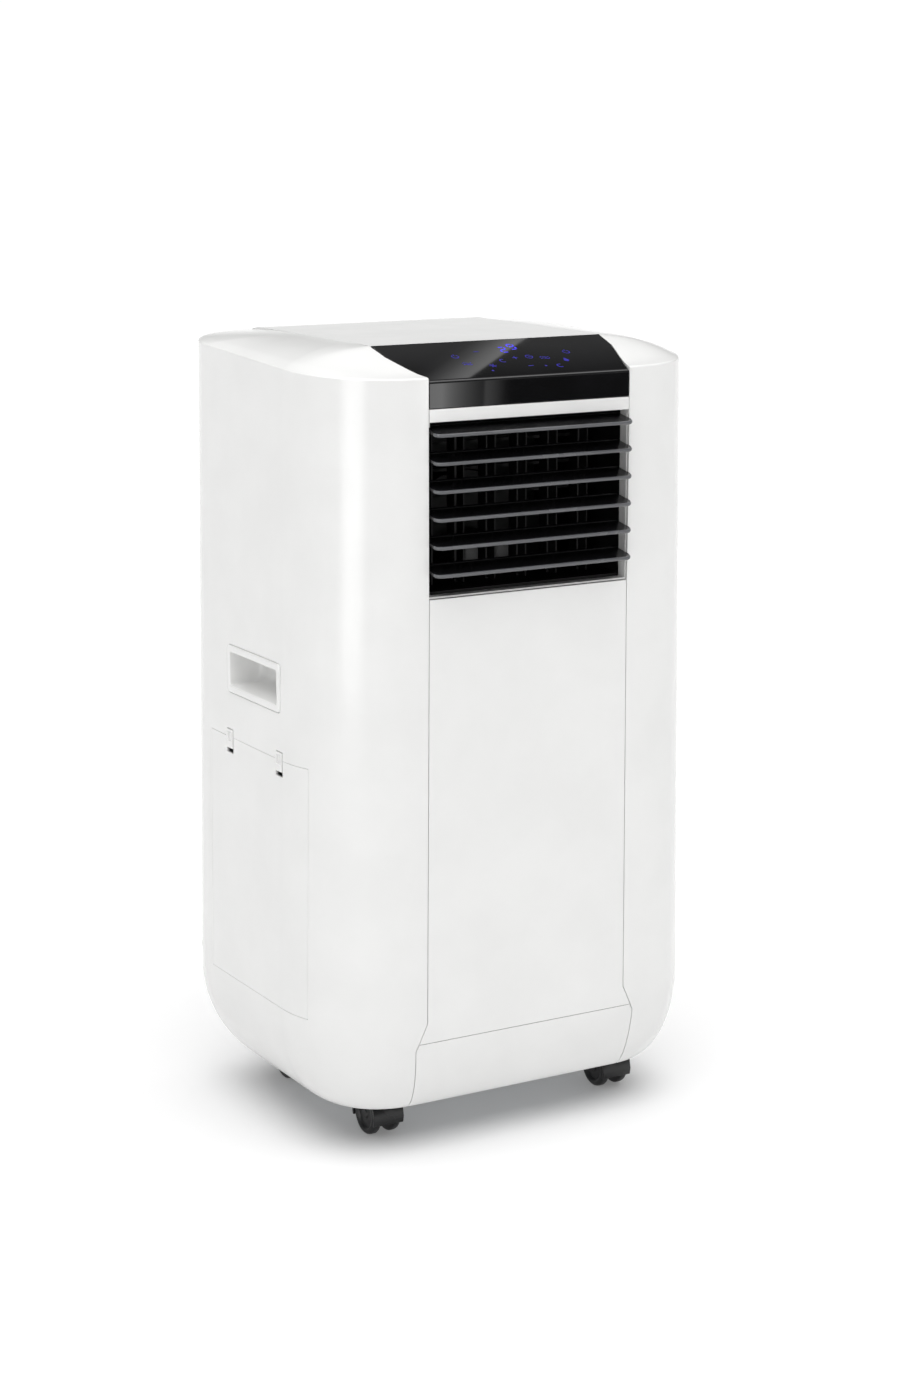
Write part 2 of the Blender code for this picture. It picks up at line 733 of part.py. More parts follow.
def make_outlet_guard():
    """Fixed guard behind the vanes that keeps fingers out of the blower."""
    y = FRONT_Y + JAMB_DEPTH + LINER_DEPTH + 2 * SEAM
    outer = STRIP_HALF_FRONT - 0.0004 + LINER_WALL
    guard = grille("outlet_guard", (-outer, OUTLET_BOTTOM), (outer, OUTLET_TOP), y, 0.0020,
                   6, 3, 0.0025, 0.006)
    part(guard, "outlet_guard", "black_plastic")


def make_swing_motor():
    """Small gear motor that turns the top louver, outside the liner's wall."""
    wall = STRIP_HALF_FRONT - 0.0004 + LINER_WALL
    y = louver_pivot_y()
    height = louver_heights()[0]
    motor = cylinder("swing_motor", (-wall - 0.010, y + 0.004, height), 0.011, 0.018, "X", 16)
    joined(motor, box("motor_ears", (-wall - 0.0035, y + 0.001, height - 0.017),
                      (-wall - 0.0015, y + 0.007, height + 0.017)))
    part(motor, "swing_motor", "grey_plastic")


# ---------------------------------------------------------------- sides
def make_cup(side, name):
    """A hand hold: a rim that fills the window, and a deep pocket behind it."""
    wall = half_width_at(sum(CUP_Z) / 2)
    y_low, y_high = FRONT_Y + CUP_Y[0], FRONT_Y + CUP_Y[1]

    def block(label, near, far, inset):
        x = sorted((side * near, side * far))
        return box(label, (x[0], y_low + inset, CUP_Z[0] + inset),
                   (x[1], y_high - inset, CUP_Z[1] - inset))

    cup = block(name, wall - 0.004, wall + CUP_PROUD, 0.0)
    joined(cup, block(name + "_body", wall - CUP_DEPTH, wall, CUP_RIM - 0.0018))
    cut(cup, block(name + "_pocket", wall - CUP_DEPTH + 0.0018, wall + 0.01, CUP_RIM))
    part(cup, name, "white_abs")


def make_door(casing):
    """Service door in the lower left side.  It swings down on its lower outer edge."""
    door = copy_of(casing, "service_door")
    kept(door, door_solid("door_region", 0.0))
    for number, y in enumerate(LATCH_Y):
        cut(door, latch_solid("door_notch_%d" % number, y, FIT, LATCH_TRAVEL))
    wall = half_width_at(DOOR_Z[0])
    for y in (DOOR_Y[0] + 0.060, DOOR_Y[1] - 0.030):
        joined(door, box("hook", (-wall + 0.0031, FRONT_Y + y - 0.006, DOOR_Z[0] - 0.0035),
                         (-wall + 0.0051, FRONT_Y + y + 0.006, DOOR_Z[0] + 0.008)))
        joined(door, box("hook_root", (-wall + 0.0015, FRONT_Y + y - 0.006, DOOR_Z[0] + 0.003),
                         (-wall + 0.0045, FRONT_Y + y + 0.006, DOOR_Z[0] + 0.008)))
    part(door, "service_door", "white_abs", (-wall, FRONT_Y + sum(DOOR_Y) / 2, DOOR_Z[0]))
    for y, name in zip(LATCH_Y, ("door_latch_front", "door_latch_rear")):
        outer = half_width_at(DOOR_Z[1]) + 0.0010
        inner = outer - 0.0060
        low = (-outer, FRONT_Y + y - LATCH_HALF, DOOR_Z[1] - LATCH_DOWN)
        high = (-inner, FRONT_Y + y + LATCH_HALF, DOOR_Z[1] + LATCH_UP)
        latch = box(name, low, high)
        finger = box("finger_dip", (-outer - 0.01, low[1] + 0.002, DOOR_Z[1] - 0.003),
                     (-outer + 0.0012, high[1] - 0.002, DOOR_Z[1] + LATCH_UP - 0.0025))
        cut(latch, finger)
        part(latch, name, "white_abs", (-outer, FRONT_Y + y, DOOR_Z[1]))


def make_drain():
    """Drain spout through the rear left corner, and the cap that closes it."""
    start = FRONT_Y + 0.2283
    end = FRONT_Y + 0.3010
    profile = [(DRAIN_BORE, end), (DRAIN_RADIUS, end), (DRAIN_RADIUS, start + 0.003),
               (0.008, start + 0.003), (0.008, start), (DRAIN_BORE, start)]
    spout = turned("drain_spout", profile, (DRAIN[0], 0.0, DRAIN[1]), "Y", 12, closed=True)
    part(spout, "drain_spout", "grey_plastic")
    plug = DRAIN_BORE - SEAM
    near = end + SEAM
    far = near + 0.0045
    profile = [(0.0, far), (CAP_RADIUS - 0.001, far), (CAP_RADIUS, far - 0.001),
               (CAP_RADIUS, near), (plug, near), (plug, near - 0.008), (0.0, near - 0.008)]
    cap = turned("drain_cap", profile, (DRAIN[0], 0.0, DRAIN[1]), "Y", 16)
    part(cap, "drain_cap", "white_abs", (DRAIN[0], near, DRAIN[1]))


# ---------------------------------------------------------------- rear
def make_filters():
    """Two grilles with air filters behind them; each pulls straight out."""
    for name, (low, high), rows in (("upper_filter", UPPER_GRILLE, 9), ("lower_filter", LOWER_GRILLE, 4)):
        half = GRILLE_HALF - FIT
        filter_grille = grille(name, (-half, low + FIT), (half, high - FIT), REAR_Y - 0.0040, 0.0035,
                               rows, 2, 0.007, 0.009)
        part(filter_grille, name, "white_abs", (0.0, REAR_Y, (low + high) / 2))


def make_port():
    """Round collar for the exhaust hose, with a finger guard across its bore."""
    end = REAR_Y + PORT_PROUD
    profile = [
        (PORT_BORE, end), (PORT_RADIUS - 0.002, end), (PORT_RADIUS - 0.002, REAR_Y + 0.0025),
        (PORT_FLANGE, REAR_Y + 0.0025), (PORT_FLANGE, REAR_Y + SEAM),
        (PORT_RADIUS, REAR_Y + SEAM), (PORT_RADIUS, REAR_Y - 0.010), (PORT_BORE, REAR_Y - 0.010),
    ]
    collar = turned("exhaust_collar", profile, (0.0, 0.0, PORT_Z), "Y", 24, closed=True)
    back, front = REAR_Y - 0.0065, REAR_Y - 0.0090
    for offset in (-0.036, -0.012, 0.012, 0.036):
        reach = math.sqrt(PORT_BORE ** 2 - offset ** 2) + 0.002
        joined(collar, box("guard_bar", (-reach, front, PORT_Z + offset - 0.0012),
                           (reach, back, PORT_Z + offset + 0.0012)))
    reach = PORT_BORE + 0.002
    joined(collar, box("guard_post", (-0.0012, front + 0.0003, PORT_Z - reach),
                       (0.0012, back - 0.0003, PORT_Z + reach)))
    part(collar, "exhaust_collar", "white_abs")


def make_gland():
    """Gland where the mains cord would enter."""
    profile = [
        (GLAND_BORE, REAR_Y + 0.009), (0.0062, REAR_Y + 0.009), (0.0085, REAR_Y + 0.003),
        (0.0105, REAR_Y + 0.003), (0.0105, REAR_Y + SEAM), (GLAND_RADIUS, REAR_Y + SEAM),
        (GLAND_RADIUS, REAR_Y - 0.008), (GLAND_BORE, REAR_Y - 0.008),
    ]
    gland = turned("cord_gland", profile, (GLAND[0], 0.0, GLAND[1]), "Y", 16, closed=True)
    part(gland, "cord_gland", "black_plastic")


# ---------------------------------------------------------------- inside
def make_base():
    """Floor pan with four caster sockets on its upper side."""
    outline = plan_outline(BASE_HALF, FRONT_Y + BASE_FRONT, REAR_Y - BASE_REAR, 0.045, 0.045)
    pan = outline_solid("base_pan", outline, BASE_Z[0], BASE_Z[1])
    for x in CASTER_X:
        for y in CASTER_Y:
            centre = (x, FRONT_Y + y, (BASE_Z[0] + 0.001 + SOCKET_TOP) / 2)
            joined(pan, cylinder("socket", centre, SOCKET_RADIUS, SOCKET_TOP - BASE_Z[0] - 0.001, "Z", 12))
            centre = (x, FRONT_Y + y, (BASE_Z[0] - 0.01 + STEM_TOP + FIT) / 2)
            cut(pan, cylinder("socket_bore", centre, STEM_RADIUS + PIN_PLAY,
                              STEM_TOP + FIT - BASE_Z[0] + 0.01, "Z", 12))
    part(pan, "base_pan", "galvanised_steel")


def make_deck():
    """Shelf between the cold upper half and the warm lower half."""
    outline = casing_section(DECK_Z[0], WALL + DECK_MARGIN)
    deck = outline_solid("mid_deck", outline, DECK_Z[0], DECK_Z[1])
    for x, y in (SUCTION_RISE, LIQUID_RISE):
        cut(deck, cylinder("pipe_hole", (x, y, DECK_Z[0]), PIPE_HOLE, 0.02, "Z", 10))
    part(deck, "mid_deck", "grey_plastic")


def make_coil(name, half, front, back, low, high):
    """A finned coil: a fin block between two end plates."""
    coil = box(name, (-half, front, low), (half, back, high))
    for side in (-1, 1):
        x = sorted((side * (half - 0.001), side * (half + 0.0015)))
        joined(coil, box(name + "_plate", (x[0], front - 0.003, low - 0.003),
                         (x[1], back + 0.003, high + 0.003)))
    part(coil, name, "aluminium_fins")


def blower(name, radius, depth, centre, steps):
    """A centrifugal wheel about Y: a back disc, a slotted drum and a front ring."""
    bm = bmesh.new()
    wall = 0.0015
    lines = [(SHAFT_RADIUS + PIN_PLAY, 0.0), (radius, 0.0), (radius, 0.005),
             (radius, depth - 0.005), (radius, depth), (radius - 0.012, depth + 0.002)]
    loops = []
    for ring_radius, height in lines:
        loop = []
        for i in range(steps):
            angle = 2 * math.pi * i / steps
            loop.append(bm.verts.new((ring_radius * math.cos(angle), height,
                                      ring_radius * math.sin(angle))))
        loops.append(loop)
    for row, (lower, upper) in enumerate(zip(loops, loops[1:])):
        for i in range(steps):
            if row == 2 and i % 2:
                continue
            j = (i + 1) % steps
            bm.faces.new((lower[i], upper[i], upper[j], lower[j]))
    obj = add_bmesh(name, bm)
    obj.data.transform(Matrix.Translation(centre))
    sheet = obj.modifiers.new("Sheet", "SOLIDIFY")
    sheet.thickness = wall
    sheet.offset = 1.0
    part(obj, name, "black_plastic", centre)


def make_motor(name, y_front, y_back, x, z, radius):
    """A fan motor about Y, with its shaft pointing backwards through the wheel."""
    shaft = 0.022
    profile = [
        (0.0, y_back + shaft), (SHAFT_RADIUS, y_back + shaft), (SHAFT_RADIUS, y_back + 0.003),
        (0.012, y_back + 0.003), (0.012, y_back), (radius - 0.004, y_back),
        (radius, y_back - 0.004), (radius, y_front + 0.004), (radius - 0.004, y_front),
        (0.0, y_front),
    ]
    part(turned(name, profile, (x, 0.0, z), "Y", 20), name, "galvanised_steel")


def make_scroll(name, half, front, back, low, high, axis_z, inlet, window, wall=0.002):
    """A blower housing: a box with a round inlet at the back and one outlet window."""
    scroll = box(name, (-half, front, low), (half, back, high))
    cut(scroll, box(name + "_room", (-half + wall, front + wall, low + wall),
                    (half - wall, back - wall, high - wall)))
    cut(scroll, cylinder(name + "_inlet", (0.0, back, axis_z), inlet, 0.02, "Y", 24))
    cut(scroll, box(name + "_window", window[0], window[1]))
    return scroll


def make_evaporator_side():
    """The cold side: coil, housing, wheel and motor in the upper half."""
    back = FRONT_Y + 0.160
    front = FRONT_Y + JAMB_DEPTH + LINER_DEPTH + 0.0035
    make_coil("evaporator_coil", 0.092, FRONT_Y + 0.215, FRONT_Y + 0.245, 0.408, 0.640)
    half = STRIP_HALF_FRONT + 0.004
    window_half = STRIP_HALF_FRONT - 0.004
    window = ((-window_half, front - 0.01, OUTLET_BOTTOM + 0.003),
              (window_half, front + 0.01, OUTLET_TOP - 0.003))
    scroll = make_scroll("evaporator_scroll", half, front, back, 0.392, 0.658, UPPER_FAN_Z, 0.068, window)
    part(scroll, "evaporator_scroll", "grey_plastic")
    blower("evaporator_blower", 0.085, 0.040, (0.0, back - 0.050, UPPER_FAN_Z), 20)
    make_motor("evaporator_motor", front + 0.0025, back - 0.0555, 0.0, UPPER_FAN_Z, 0.036)


def make_condenser_side():
    """The warm side: coil, housing, wheel, motor and exhaust duct in the lower half."""
    front = FRONT_Y + 0.150
    back = FRONT_Y + 0.226
    make_coil("condenser_coil", 0.088, FRONT_Y + 0.236, FRONT_Y + 0.262, 0.064, 0.222)
    window = ((-0.050, front + 0.004, 0.235), (0.050, back - 0.004, 0.260))
    scroll = make_scroll("condenser_scroll", 0.084, front, back, 0.060, 0.2420, LOWER_FAN_Z, 0.056, window)
    low, high, wall = 0.2410, 0.3720, 0.002
    end = REAR_Y - 0.0105
    duct = box("exhaust_duct", (-0.068, front, low), (0.068, end, high))
    cut(duct, box("duct_room", (-0.066, front + wall, low + wall), (0.066, end - wall, high - wall)))
    cut(duct, box("duct_inlet", window[0], window[1]))
    cut(duct, cylinder("duct_outlet", (0.0, end, PORT_Z), PORT_BORE - 0.0045, 0.02, "Y", 24))
    part(joined(scroll, frozen(duct)), "condenser_scroll", "grey_plastic")
    blower("condenser_blower", 0.072, 0.030, (0.0, back - 0.040, LOWER_FAN_Z), 20)
    make_motor("condenser_motor", front + 0.0025, back - 0.0455, 0.0, LOWER_FAN_Z, 0.030)


def rounded_path(corners, radius, steps=2):
    """A path through the corner points, with each turn rounded."""
    corners = [Vector(corner_point) for corner_point in corners]
    path = [corners[0]]
    for before, here, after in zip(corners, corners[1:], corners[2:]):
        start = here + (before - here).normalized() * radius
        end = here + (after - here).normalized() * radius
        for step in range(steps + 1):
            t = step / steps
            path.append(start * (1 - t) ** 2 + here * 2 * t * (1 - t) + end * t ** 2)
    path.append(corners[-1])
    return path


def make_pipe(name, corners):
    """A copper pipe with rounded bends."""
    curve = bpy.data.curves.new(name, "CURVE")
    curve.dimensions = "3D"
    curve.bevel_depth = PIPE_RADIUS
    curve.bevel_resolution = 2
    curve.use_fill_caps = True
    points = rounded_path(corners, 0.012)
    spline = curve.splines.new("POLY")
    spline.points.add(len(points) - 1)
    for spline_point, place in zip(spline.points, points):
        spline_point.co = (*place, 1.0)
    obj = bpy.data.objects.new(name, curve)
    CUTTERS.objects.link(obj)
    part(obj, name, "copper")


def make_refrigeration():
    """Compressor with its accumulator, and the pipes that join them to the coils."""
    x, y = COMPRESSOR
    top, low = COMPRESSOR_TOP, BASE_Z[1] + SEAM
    radius = COMPRESSOR_RADIUS
    profile = [(0.0, top), (0.018, top - 0.002), (0.036, top - 0.010), (radius - 0.003, top - 0.024),
               (radius, top - 0.036), (radius, low + 0.045), (radius - 0.006, low + 0.026),
               (0.034, low + 0.014), (0.034, low), (0.0, low)]
    compressor = turned("compressor", profile, (x, y, 0.0), "Z", 24)
    foot = plan_outline(0.050, y - 0.046, y + 0.046, 0.020, 0.020)
    foot = [(x + foot_x, foot_y) for foot_x, foot_y in foot]
    joined(compressor, outline_solid("feet", foot, low + 0.006, low + 0.010))
    x, y = ACCUMULATOR
    profile = [(0.0, 0.232), (0.010, 0.228), (0.016, 0.216), (0.016, 0.112), (0.010, 0.100), (0.0, 0.096)]
    joined(compressor, turned("accumulator", profile, (x, y, 0.0), "Z", 12))
    joined(compressor, box("strap", (x + 0.005, y - 0.004, 0.150), (COMPRESSOR[0] - 0.030, y + 0.004, 0.162)))
    part(compressor, "compressor", "black_steel")
    make_pipe("suction_pipe", [
        (ACCUMULATOR[0], ACCUMULATOR[1], 0.2335), (ACCUMULATOR[0], ACCUMULATOR[1], 0.300),
        (SUCTION_RISE[0], ACCUMULATOR[1], 0.300), (SUCTION_RISE[0], SUCTION_RISE[1], 0.300),
        (SUCTION_RISE[0], SUCTION_RISE[1], 0.560), (SUCTION_RISE[0], FRONT_Y + 0.230, 0.560),
        (0.0945, FRONT_Y + 0.230, 0.560)])
    make_pipe("discharge_pipe", [
        (COMPRESSOR[0], COMPRESSOR[1], COMPRESSOR_TOP + 0.0008), (COMPRESSOR[0], COMPRESSOR[1], 0.284),
        (0.140, COMPRESSOR[1], 0.284), (0.140, FRONT_Y + 0.205, 0.284),
        (0.140, FRONT_Y + 0.205, 0.190), (0.140, FRONT_Y + 0.249, 0.190), (0.0905, FRONT_Y + 0.249, 0.190)])
    make_pipe("liquid_pipe", [
        (0.0905, FRONT_Y + 0.246, 0.090), (LIQUID_RISE[0], FRONT_Y + 0.246, 0.090),
        (LIQUID_RISE[0], LIQUID_RISE[1] + 0.0, 0.090), (LIQUID_RISE[0], LIQUID_RISE[1], 0.440),
        (0.0945, LIQUID_RISE[1], 0.440)])


def make_electrics():
    """Display board under the sloping cover, and the control box in the lower half."""
    slope = math.atan2(HEIGHT - FASCIA_TOP, DISPLAY_DEPTH - 0.0035)
    board = box("display_board", (-0.078, -0.026, -0.0008), (0.078, 0.026, 0.0008))
    board.data.transform(Matrix.Translation((0.0, FRONT_Y + 0.038, 0.6795))
                         @ Matrix.Rotation(slope, 4, "X"))
    part(board, "display_board", "board_green")
    part(box("control_box", (-0.150, FRONT_Y + 0.050, 0.200), (-0.045, FRONT_Y + 0.092, 0.350)),
         "control_box", "galvanised_steel")


def make_tank():
    """Open tray behind the service door that collects the condensate."""
    low = (-0.176, FRONT_Y + 0.098, BASE_Z[1] + 0.020)
    high = (-0.100, FRONT_Y + 0.228, 0.165)
    tank = box("condensate_tank", low, high)
    wall = 0.0025
    cut(tank, box("tank_room", (low[0] + wall, low[1] + wall, low[2] + wall),
                  (high[0] - wall, high[1] - wall, high[2] + 0.01)))
    cut(tank, cylinder("tank_drain", (DRAIN[0], high[1], DRAIN[1]), DRAIN_BORE, 0.02, "Y", 8))
    part(tank, "condensate_tank", "grey_plastic")


# ---------------------------------------------------------------- casters
def make_caster(name, x, y):
    """Twin-wheel caster: a hood that swivels on its stem, and a wheel pair on one axle."""
    wheel_y = y - CASTER_TRAIL
    centre = (x, wheel_y, WHEEL_RADIUS)
    arch = cylinder("arch", centre, HOOD_RADIUS, 2 * HOOD_HALF, "X", 16)
    for side in (-1, 1):
        middle = side * (WEB_HALF + HOOD_HALF + 0.01) / 2
        cut(arch, cylinder("wheel_room", (x + middle, wheel_y, WHEEL_RADIUS), HOOD_RADIUS - HOOD_WALL,
                           HOOD_HALF + 0.01 - WEB_HALF, "X", 16))
    cut(arch, box("below", (x - 0.03, wheel_y - 0.03, -0.01),
                  (x + 0.03, wheel_y + 0.03, WHEEL_RADIUS - 0.0060)))
    cut(arch, cylinder("axle_hole", centre, AXLE_RADIUS + 2 * PIN_PLAY, 0.05, "X", 8))
    top = WHEEL_RADIUS + HOOD_RADIUS - 0.0035
    joined(arch, cylinder("collar", (x, y, (top + BASE_Z[0] - 0.0006) / 2), 0.0075,
                          BASE_Z[0] - 0.0006 - top, "Z", 10))
    joined(arch, cylinder("stem", (x, y, (top + STEM_TOP) / 2), STEM_RADIUS, STEM_TOP - top, "Z", 10))
    part(arch, name + "_hood", "black_plastic", (x, y, BASE_Z[0]))
    half = [(WHEEL_RADIUS - 0.004, WHEEL_OUT), (WHEEL_RADIUS, WHEEL_OUT - 0.0025),
            (WHEEL_RADIUS, WHEEL_GAP + 0.0005), (AXLE_RADIUS, WHEEL_GAP)]
    other = [(radius, -height) for radius, height in reversed(half)]
    profile = [(0.0, WHEEL_OUT)] + half + other + [(0.0, -WHEEL_OUT)]
    part(turned("wheels", profile, centre, "X", 16), name + "_wheels", "black_plastic", centre)


def make_casters():
    """Four casters, one near each corner."""
    for x, side in zip(CASTER_X, ("left", "right")):
        for y, end in zip(CASTER_Y, ("front", "rear")):
            make_caster("caster_%s_%s" % (end, side), x, FRONT_Y + y)


def build():
    """Make every piece."""
    casing = make_casing()
    make_side_shell(casing, -1, "left_side_shell")
    make_side_shell(casing, 1, "right_side_shell")
    make_front_panel(casing)
    make_rear_panel(casing)
    make_display()
    make_top_cover()
    make_bezel()
    make_liner()
    make_louvers()
    make_vanes()
    make_outlet_guard()
    make_swing_motor()
    make_cup(-1, "handle_cup_left")
    make_cup(1, "handle_cup_right")
    make_door(casing)
    make_drain()
    make_filters()
    make_port()
    make_gland()
    make_base()
    make_deck()
    make_evaporator_side()
    make_condenser_side()
    make_refrigeration()
    make_electrics()
    make_tank()
    make_casters()
    for obj in list(CUTTERS.objects):
        bpy.data.objects.remove(obj, do_unlink=True)


clear_scene()
PARTS = make_collection("portable_air_conditioner")
CUTTERS = make_collection("cutters")
MATERIALS = make_materials()
build()
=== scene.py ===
"""Portable room air conditioner on four casters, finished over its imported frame.

Metres, +Z up, -Y is the front where the air comes out, -X is the side with the service door.
"""
import math

import bmesh
import bpy
from mathutils import Matrix, Vector
from mathutils.kdtree import KDTree


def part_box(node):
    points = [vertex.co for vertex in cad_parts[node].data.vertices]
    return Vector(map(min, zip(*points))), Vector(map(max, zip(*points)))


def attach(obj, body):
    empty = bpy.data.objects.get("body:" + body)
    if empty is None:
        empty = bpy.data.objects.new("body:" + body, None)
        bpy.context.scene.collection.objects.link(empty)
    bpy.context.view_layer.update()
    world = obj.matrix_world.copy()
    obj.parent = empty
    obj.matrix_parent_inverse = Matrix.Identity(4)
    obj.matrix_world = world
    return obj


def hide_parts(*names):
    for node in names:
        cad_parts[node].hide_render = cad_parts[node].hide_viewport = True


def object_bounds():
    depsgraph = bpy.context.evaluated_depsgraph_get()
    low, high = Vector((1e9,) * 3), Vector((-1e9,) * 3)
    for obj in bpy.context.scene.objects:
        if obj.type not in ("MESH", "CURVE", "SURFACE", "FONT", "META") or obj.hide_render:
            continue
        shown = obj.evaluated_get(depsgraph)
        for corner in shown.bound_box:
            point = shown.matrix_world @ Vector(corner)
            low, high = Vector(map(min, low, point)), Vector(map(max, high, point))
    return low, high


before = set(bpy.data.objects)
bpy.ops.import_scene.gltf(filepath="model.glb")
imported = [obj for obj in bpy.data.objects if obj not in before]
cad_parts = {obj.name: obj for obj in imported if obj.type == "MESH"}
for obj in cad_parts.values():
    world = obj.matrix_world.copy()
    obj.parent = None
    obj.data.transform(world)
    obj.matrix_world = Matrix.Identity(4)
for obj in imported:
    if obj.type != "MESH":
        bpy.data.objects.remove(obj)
cad_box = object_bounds()

# The casing's surface, as the frame has it
HALF_WIDTH = 0.1935         # at MID_HEIGHT; the sides lean in by FLARE
HALF_DEPTH = 0.155
MID_HEIGHT = 0.400
FLARE = 0.075
WALL = 0.0025
FRONT_RADIUS = 0.089
REAR_RADIUS = 0.076
CORNER_POWER = 2.15
CORNER_STEPS = 20
BOTTOM = 0.040
TUCK_TOP = 0.118
TUCK_SIDE = 0.033
TUCK_FRONT = 0.021
TUCK_REAR = 0.035
TUCK_ANGLE = 75.0
TUCK_LEVELS = 14
LOW_FRONT_RADIUS = 0.060
LOW_REAR_RADIUS = 0.080
RIM_FRONT = 0.679
RIM_SLOPE = 0.056
RIM_EDGE = 0.987
TOP_HEIGHT = cad_box[1][2]
FRONT_Y = -HALF_DEPTH
REAR_Y = HALF_DEPTH

SEAM = 0.0003               # each piece stands back this far from a seam line
DISPLAY_LOW, DISPLAY_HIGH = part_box("display_cover")
STRIP_HALF_FRONT = 0.0985
STRIP_KINK = (0.1125, 0.050)
STRIP_HALF_REAR = 0.114
JOGS = ((0.1010, 0.121), (0.1120, 0.097), (0.1085, 0.030))   # half width and height down the seams
EDGE_ROUND = 0.0004         # rounding of moulded edges

# Pieces set into the casing, where the frame has them
DOOR_Y = (-0.103, 0.076)
DOOR_Z = (0.125, 0.3475)
CUP_RIM = 0.0065
LOUVER_PIVOT = (-0.139033, 0.637)
LOUVER_AHEAD = 0.029        # the lip's reach in front of the pivot
LOUVER_TILT = math.radians(11.0)
PORT_Z = 0.300
PORT_HOLE = 0.067
GLAND = (0.088, 0.248)
GLAND_HOLE = 0.0078
SCREW_X = 0.103
SCREW_Z = (0.655, 0.360, 0.236)

WHITE = (1.0, 1.0, 1.0, 1.0)
PLASTIC_IOR = 1.49
FLOOR_GLOW = 0.16           # the sweep is also lit from below, so its shadows stay light


# ---------------------------------------------------------------- working by hand
def linear(hex_code):
    """An sRGB hex colour as the linear RGBA that shaders take."""
    values = [int(hex_code[i:i + 2], 16) / 255 for i in (1, 3, 5)]
    return tuple(v / 12.92 if v <= 0.04045 else ((v + 0.055) / 1.055) ** 2.4 for v in values) + (1.0,)


def deselect():
    """Leave edit mode with nothing selected."""
    if bpy.context.mode != "OBJECT":
        bpy.ops.object.mode_set(mode="OBJECT")
    bpy.ops.object.select_all(action="DESELECT")


def named(name):
    """Name the object that an operator has just made, and its mesh."""
    obj = bpy.context.object
    obj.name = name
    obj.data.name = name
    return obj


def activate(obj):
    """Make one object the only selected and active one."""
    deselect()
    obj.select_set(True)
    bpy.context.view_layer.objects.active = obj
    return obj


def place_selected(targets, before=None):
    """Move the selected edit-mode points to their targets, matched by where they are now."""
    mesh = bpy.context.object.data
    bm = bmesh.from_edit_mesh(mesh)
    chosen = [v for v in bm.verts if v.select]
    if before is None:
        for vert, target in zip(sorted(chosen, key=lambda v: v.index), targets):
            vert.co = target
    else:
        tree = KDTree(len(before))
        for index, old in enumerate(before):
            tree.insert(old, index)
        tree.balance()
        for vert in chosen:
            vert.co = targets[tree.find(vert.co)[1]]
    bmesh.update_edit_mesh(mesh)


def finish_mesh(weld=0.000002):
    """In edit mode: merge doubles, turn the faces outwards and go back to object mode."""
    bpy.ops.mesh.select_all(action="SELECT")
    bpy.ops.mesh.remove_doubles(threshold=weld)
    bpy.ops.mesh.normals_make_consistent(inside=False)
    bpy.ops.object.mode_set(mode="OBJECT")
    return bpy.context.object


def loft(name, rings, start_cap=True, end_cap=True):
    """A circle, extruded ring by ring, with each ring drawn out to its outline."""
    deselect()
    bpy.ops.mesh.primitive_circle_add(vertices=len(rings[0]), radius=1.0)
    obj = named(name)
    bpy.ops.object.mode_set(mode="EDIT")
    place_selected(rings[0])
    if start_cap:
        bpy.ops.mesh.edge_face_add()
        bpy.ops.mesh.select_all(action="DESELECT")
        bm = bmesh.from_edit_mesh(obj.data)
        for edge in bm.edges:
            edge.select = True
        bmesh.update_edit_mesh(obj.data)
        bpy.ops.mesh.select_mode(type="EDGE")
    for before, ring in zip(rings, rings[1:]):
        bpy.ops.mesh.extrude_edges_move(MESH_OT_extrude_edges_indiv={"use_normal_flip": False})
        place_selected(ring, before)
    if end_cap:
        bpy.ops.mesh.edge_face_add()
    bpy.ops.mesh.select_mode(type="VERT")
    return finish_mesh()


def turned(name, profile, centre, axis="Z", steps=48):
    """A closed profile of (radius, height) points, spun a whole turn about an axis."""
    deselect()
    bpy.ops.mesh.primitive_circle_add(vertices=len(profile), radius=1.0)
    obj = named(name)
    bpy.ops.object.mode_set(mode="EDIT")
    place_selected([(radius, 0.0, height) for radius, height in profile])
    bpy.ops.mesh.spin(steps=steps, angle=2 * math.pi, center=(0.0, 0.0, 0.0), axis=(0.0, 0.0, 1.0))
    finish_mesh(0.00002)
    turns = {
        "X": Matrix.Rotation(math.pi / 2, 4, "Y"),
        "Y": Matrix.Rotation(-math.pi / 2, 4, "X"),
        "Z": Matrix.Identity(4),
    }
    obj.data.transform(Matrix.Translation(centre) @ turns[axis])
    return obj


def corners_of(node):
    """The two corners of a CAD node's box."""
    return [Vector(point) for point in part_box(node)]


def block(name, low, high):
    """A cube primitive between two corners."""
    deselect()
    low, high = Vector(low), Vector(high)
    bpy.ops.mesh.primitive_cube_add(size=1.0, location=(low + high) / 2, scale=high - low)
    obj = named(name)
    bpy.ops.object.transform_apply(location=True, rotation=True, scale=True)
    return obj


def slab(name, outline, low, high, plane="XY"):
    """A flat outline extruded between two depths: XZ is seen from the front, YZ from +X."""
    def point(across, up, depth):
        return {"XY": (across, up, depth), "XZ": (across, depth, up), "YZ": (depth, across, up)}[plane]
    return loft(name, [[point(a, u, low) for a, u in outline], [point(a, u, high) for a, u in outline]])


def rod(name, start, end, radius, sides=16):
    """A cylinder primitive from one point to another."""
    deselect()
    start, end = Vector(start), Vector(end)
    turn = (end - start).to_track_quat("Z", "Y").to_euler()
    bpy.ops.mesh.primitive_cylinder_add(vertices=sides, radius=radius, depth=(end - start).length,
                                        location=(start + end) / 2, rotation=turn)
    obj = named(name)
    bpy.ops.object.transform_apply(location=True, rotation=True, scale=True)
    return obj


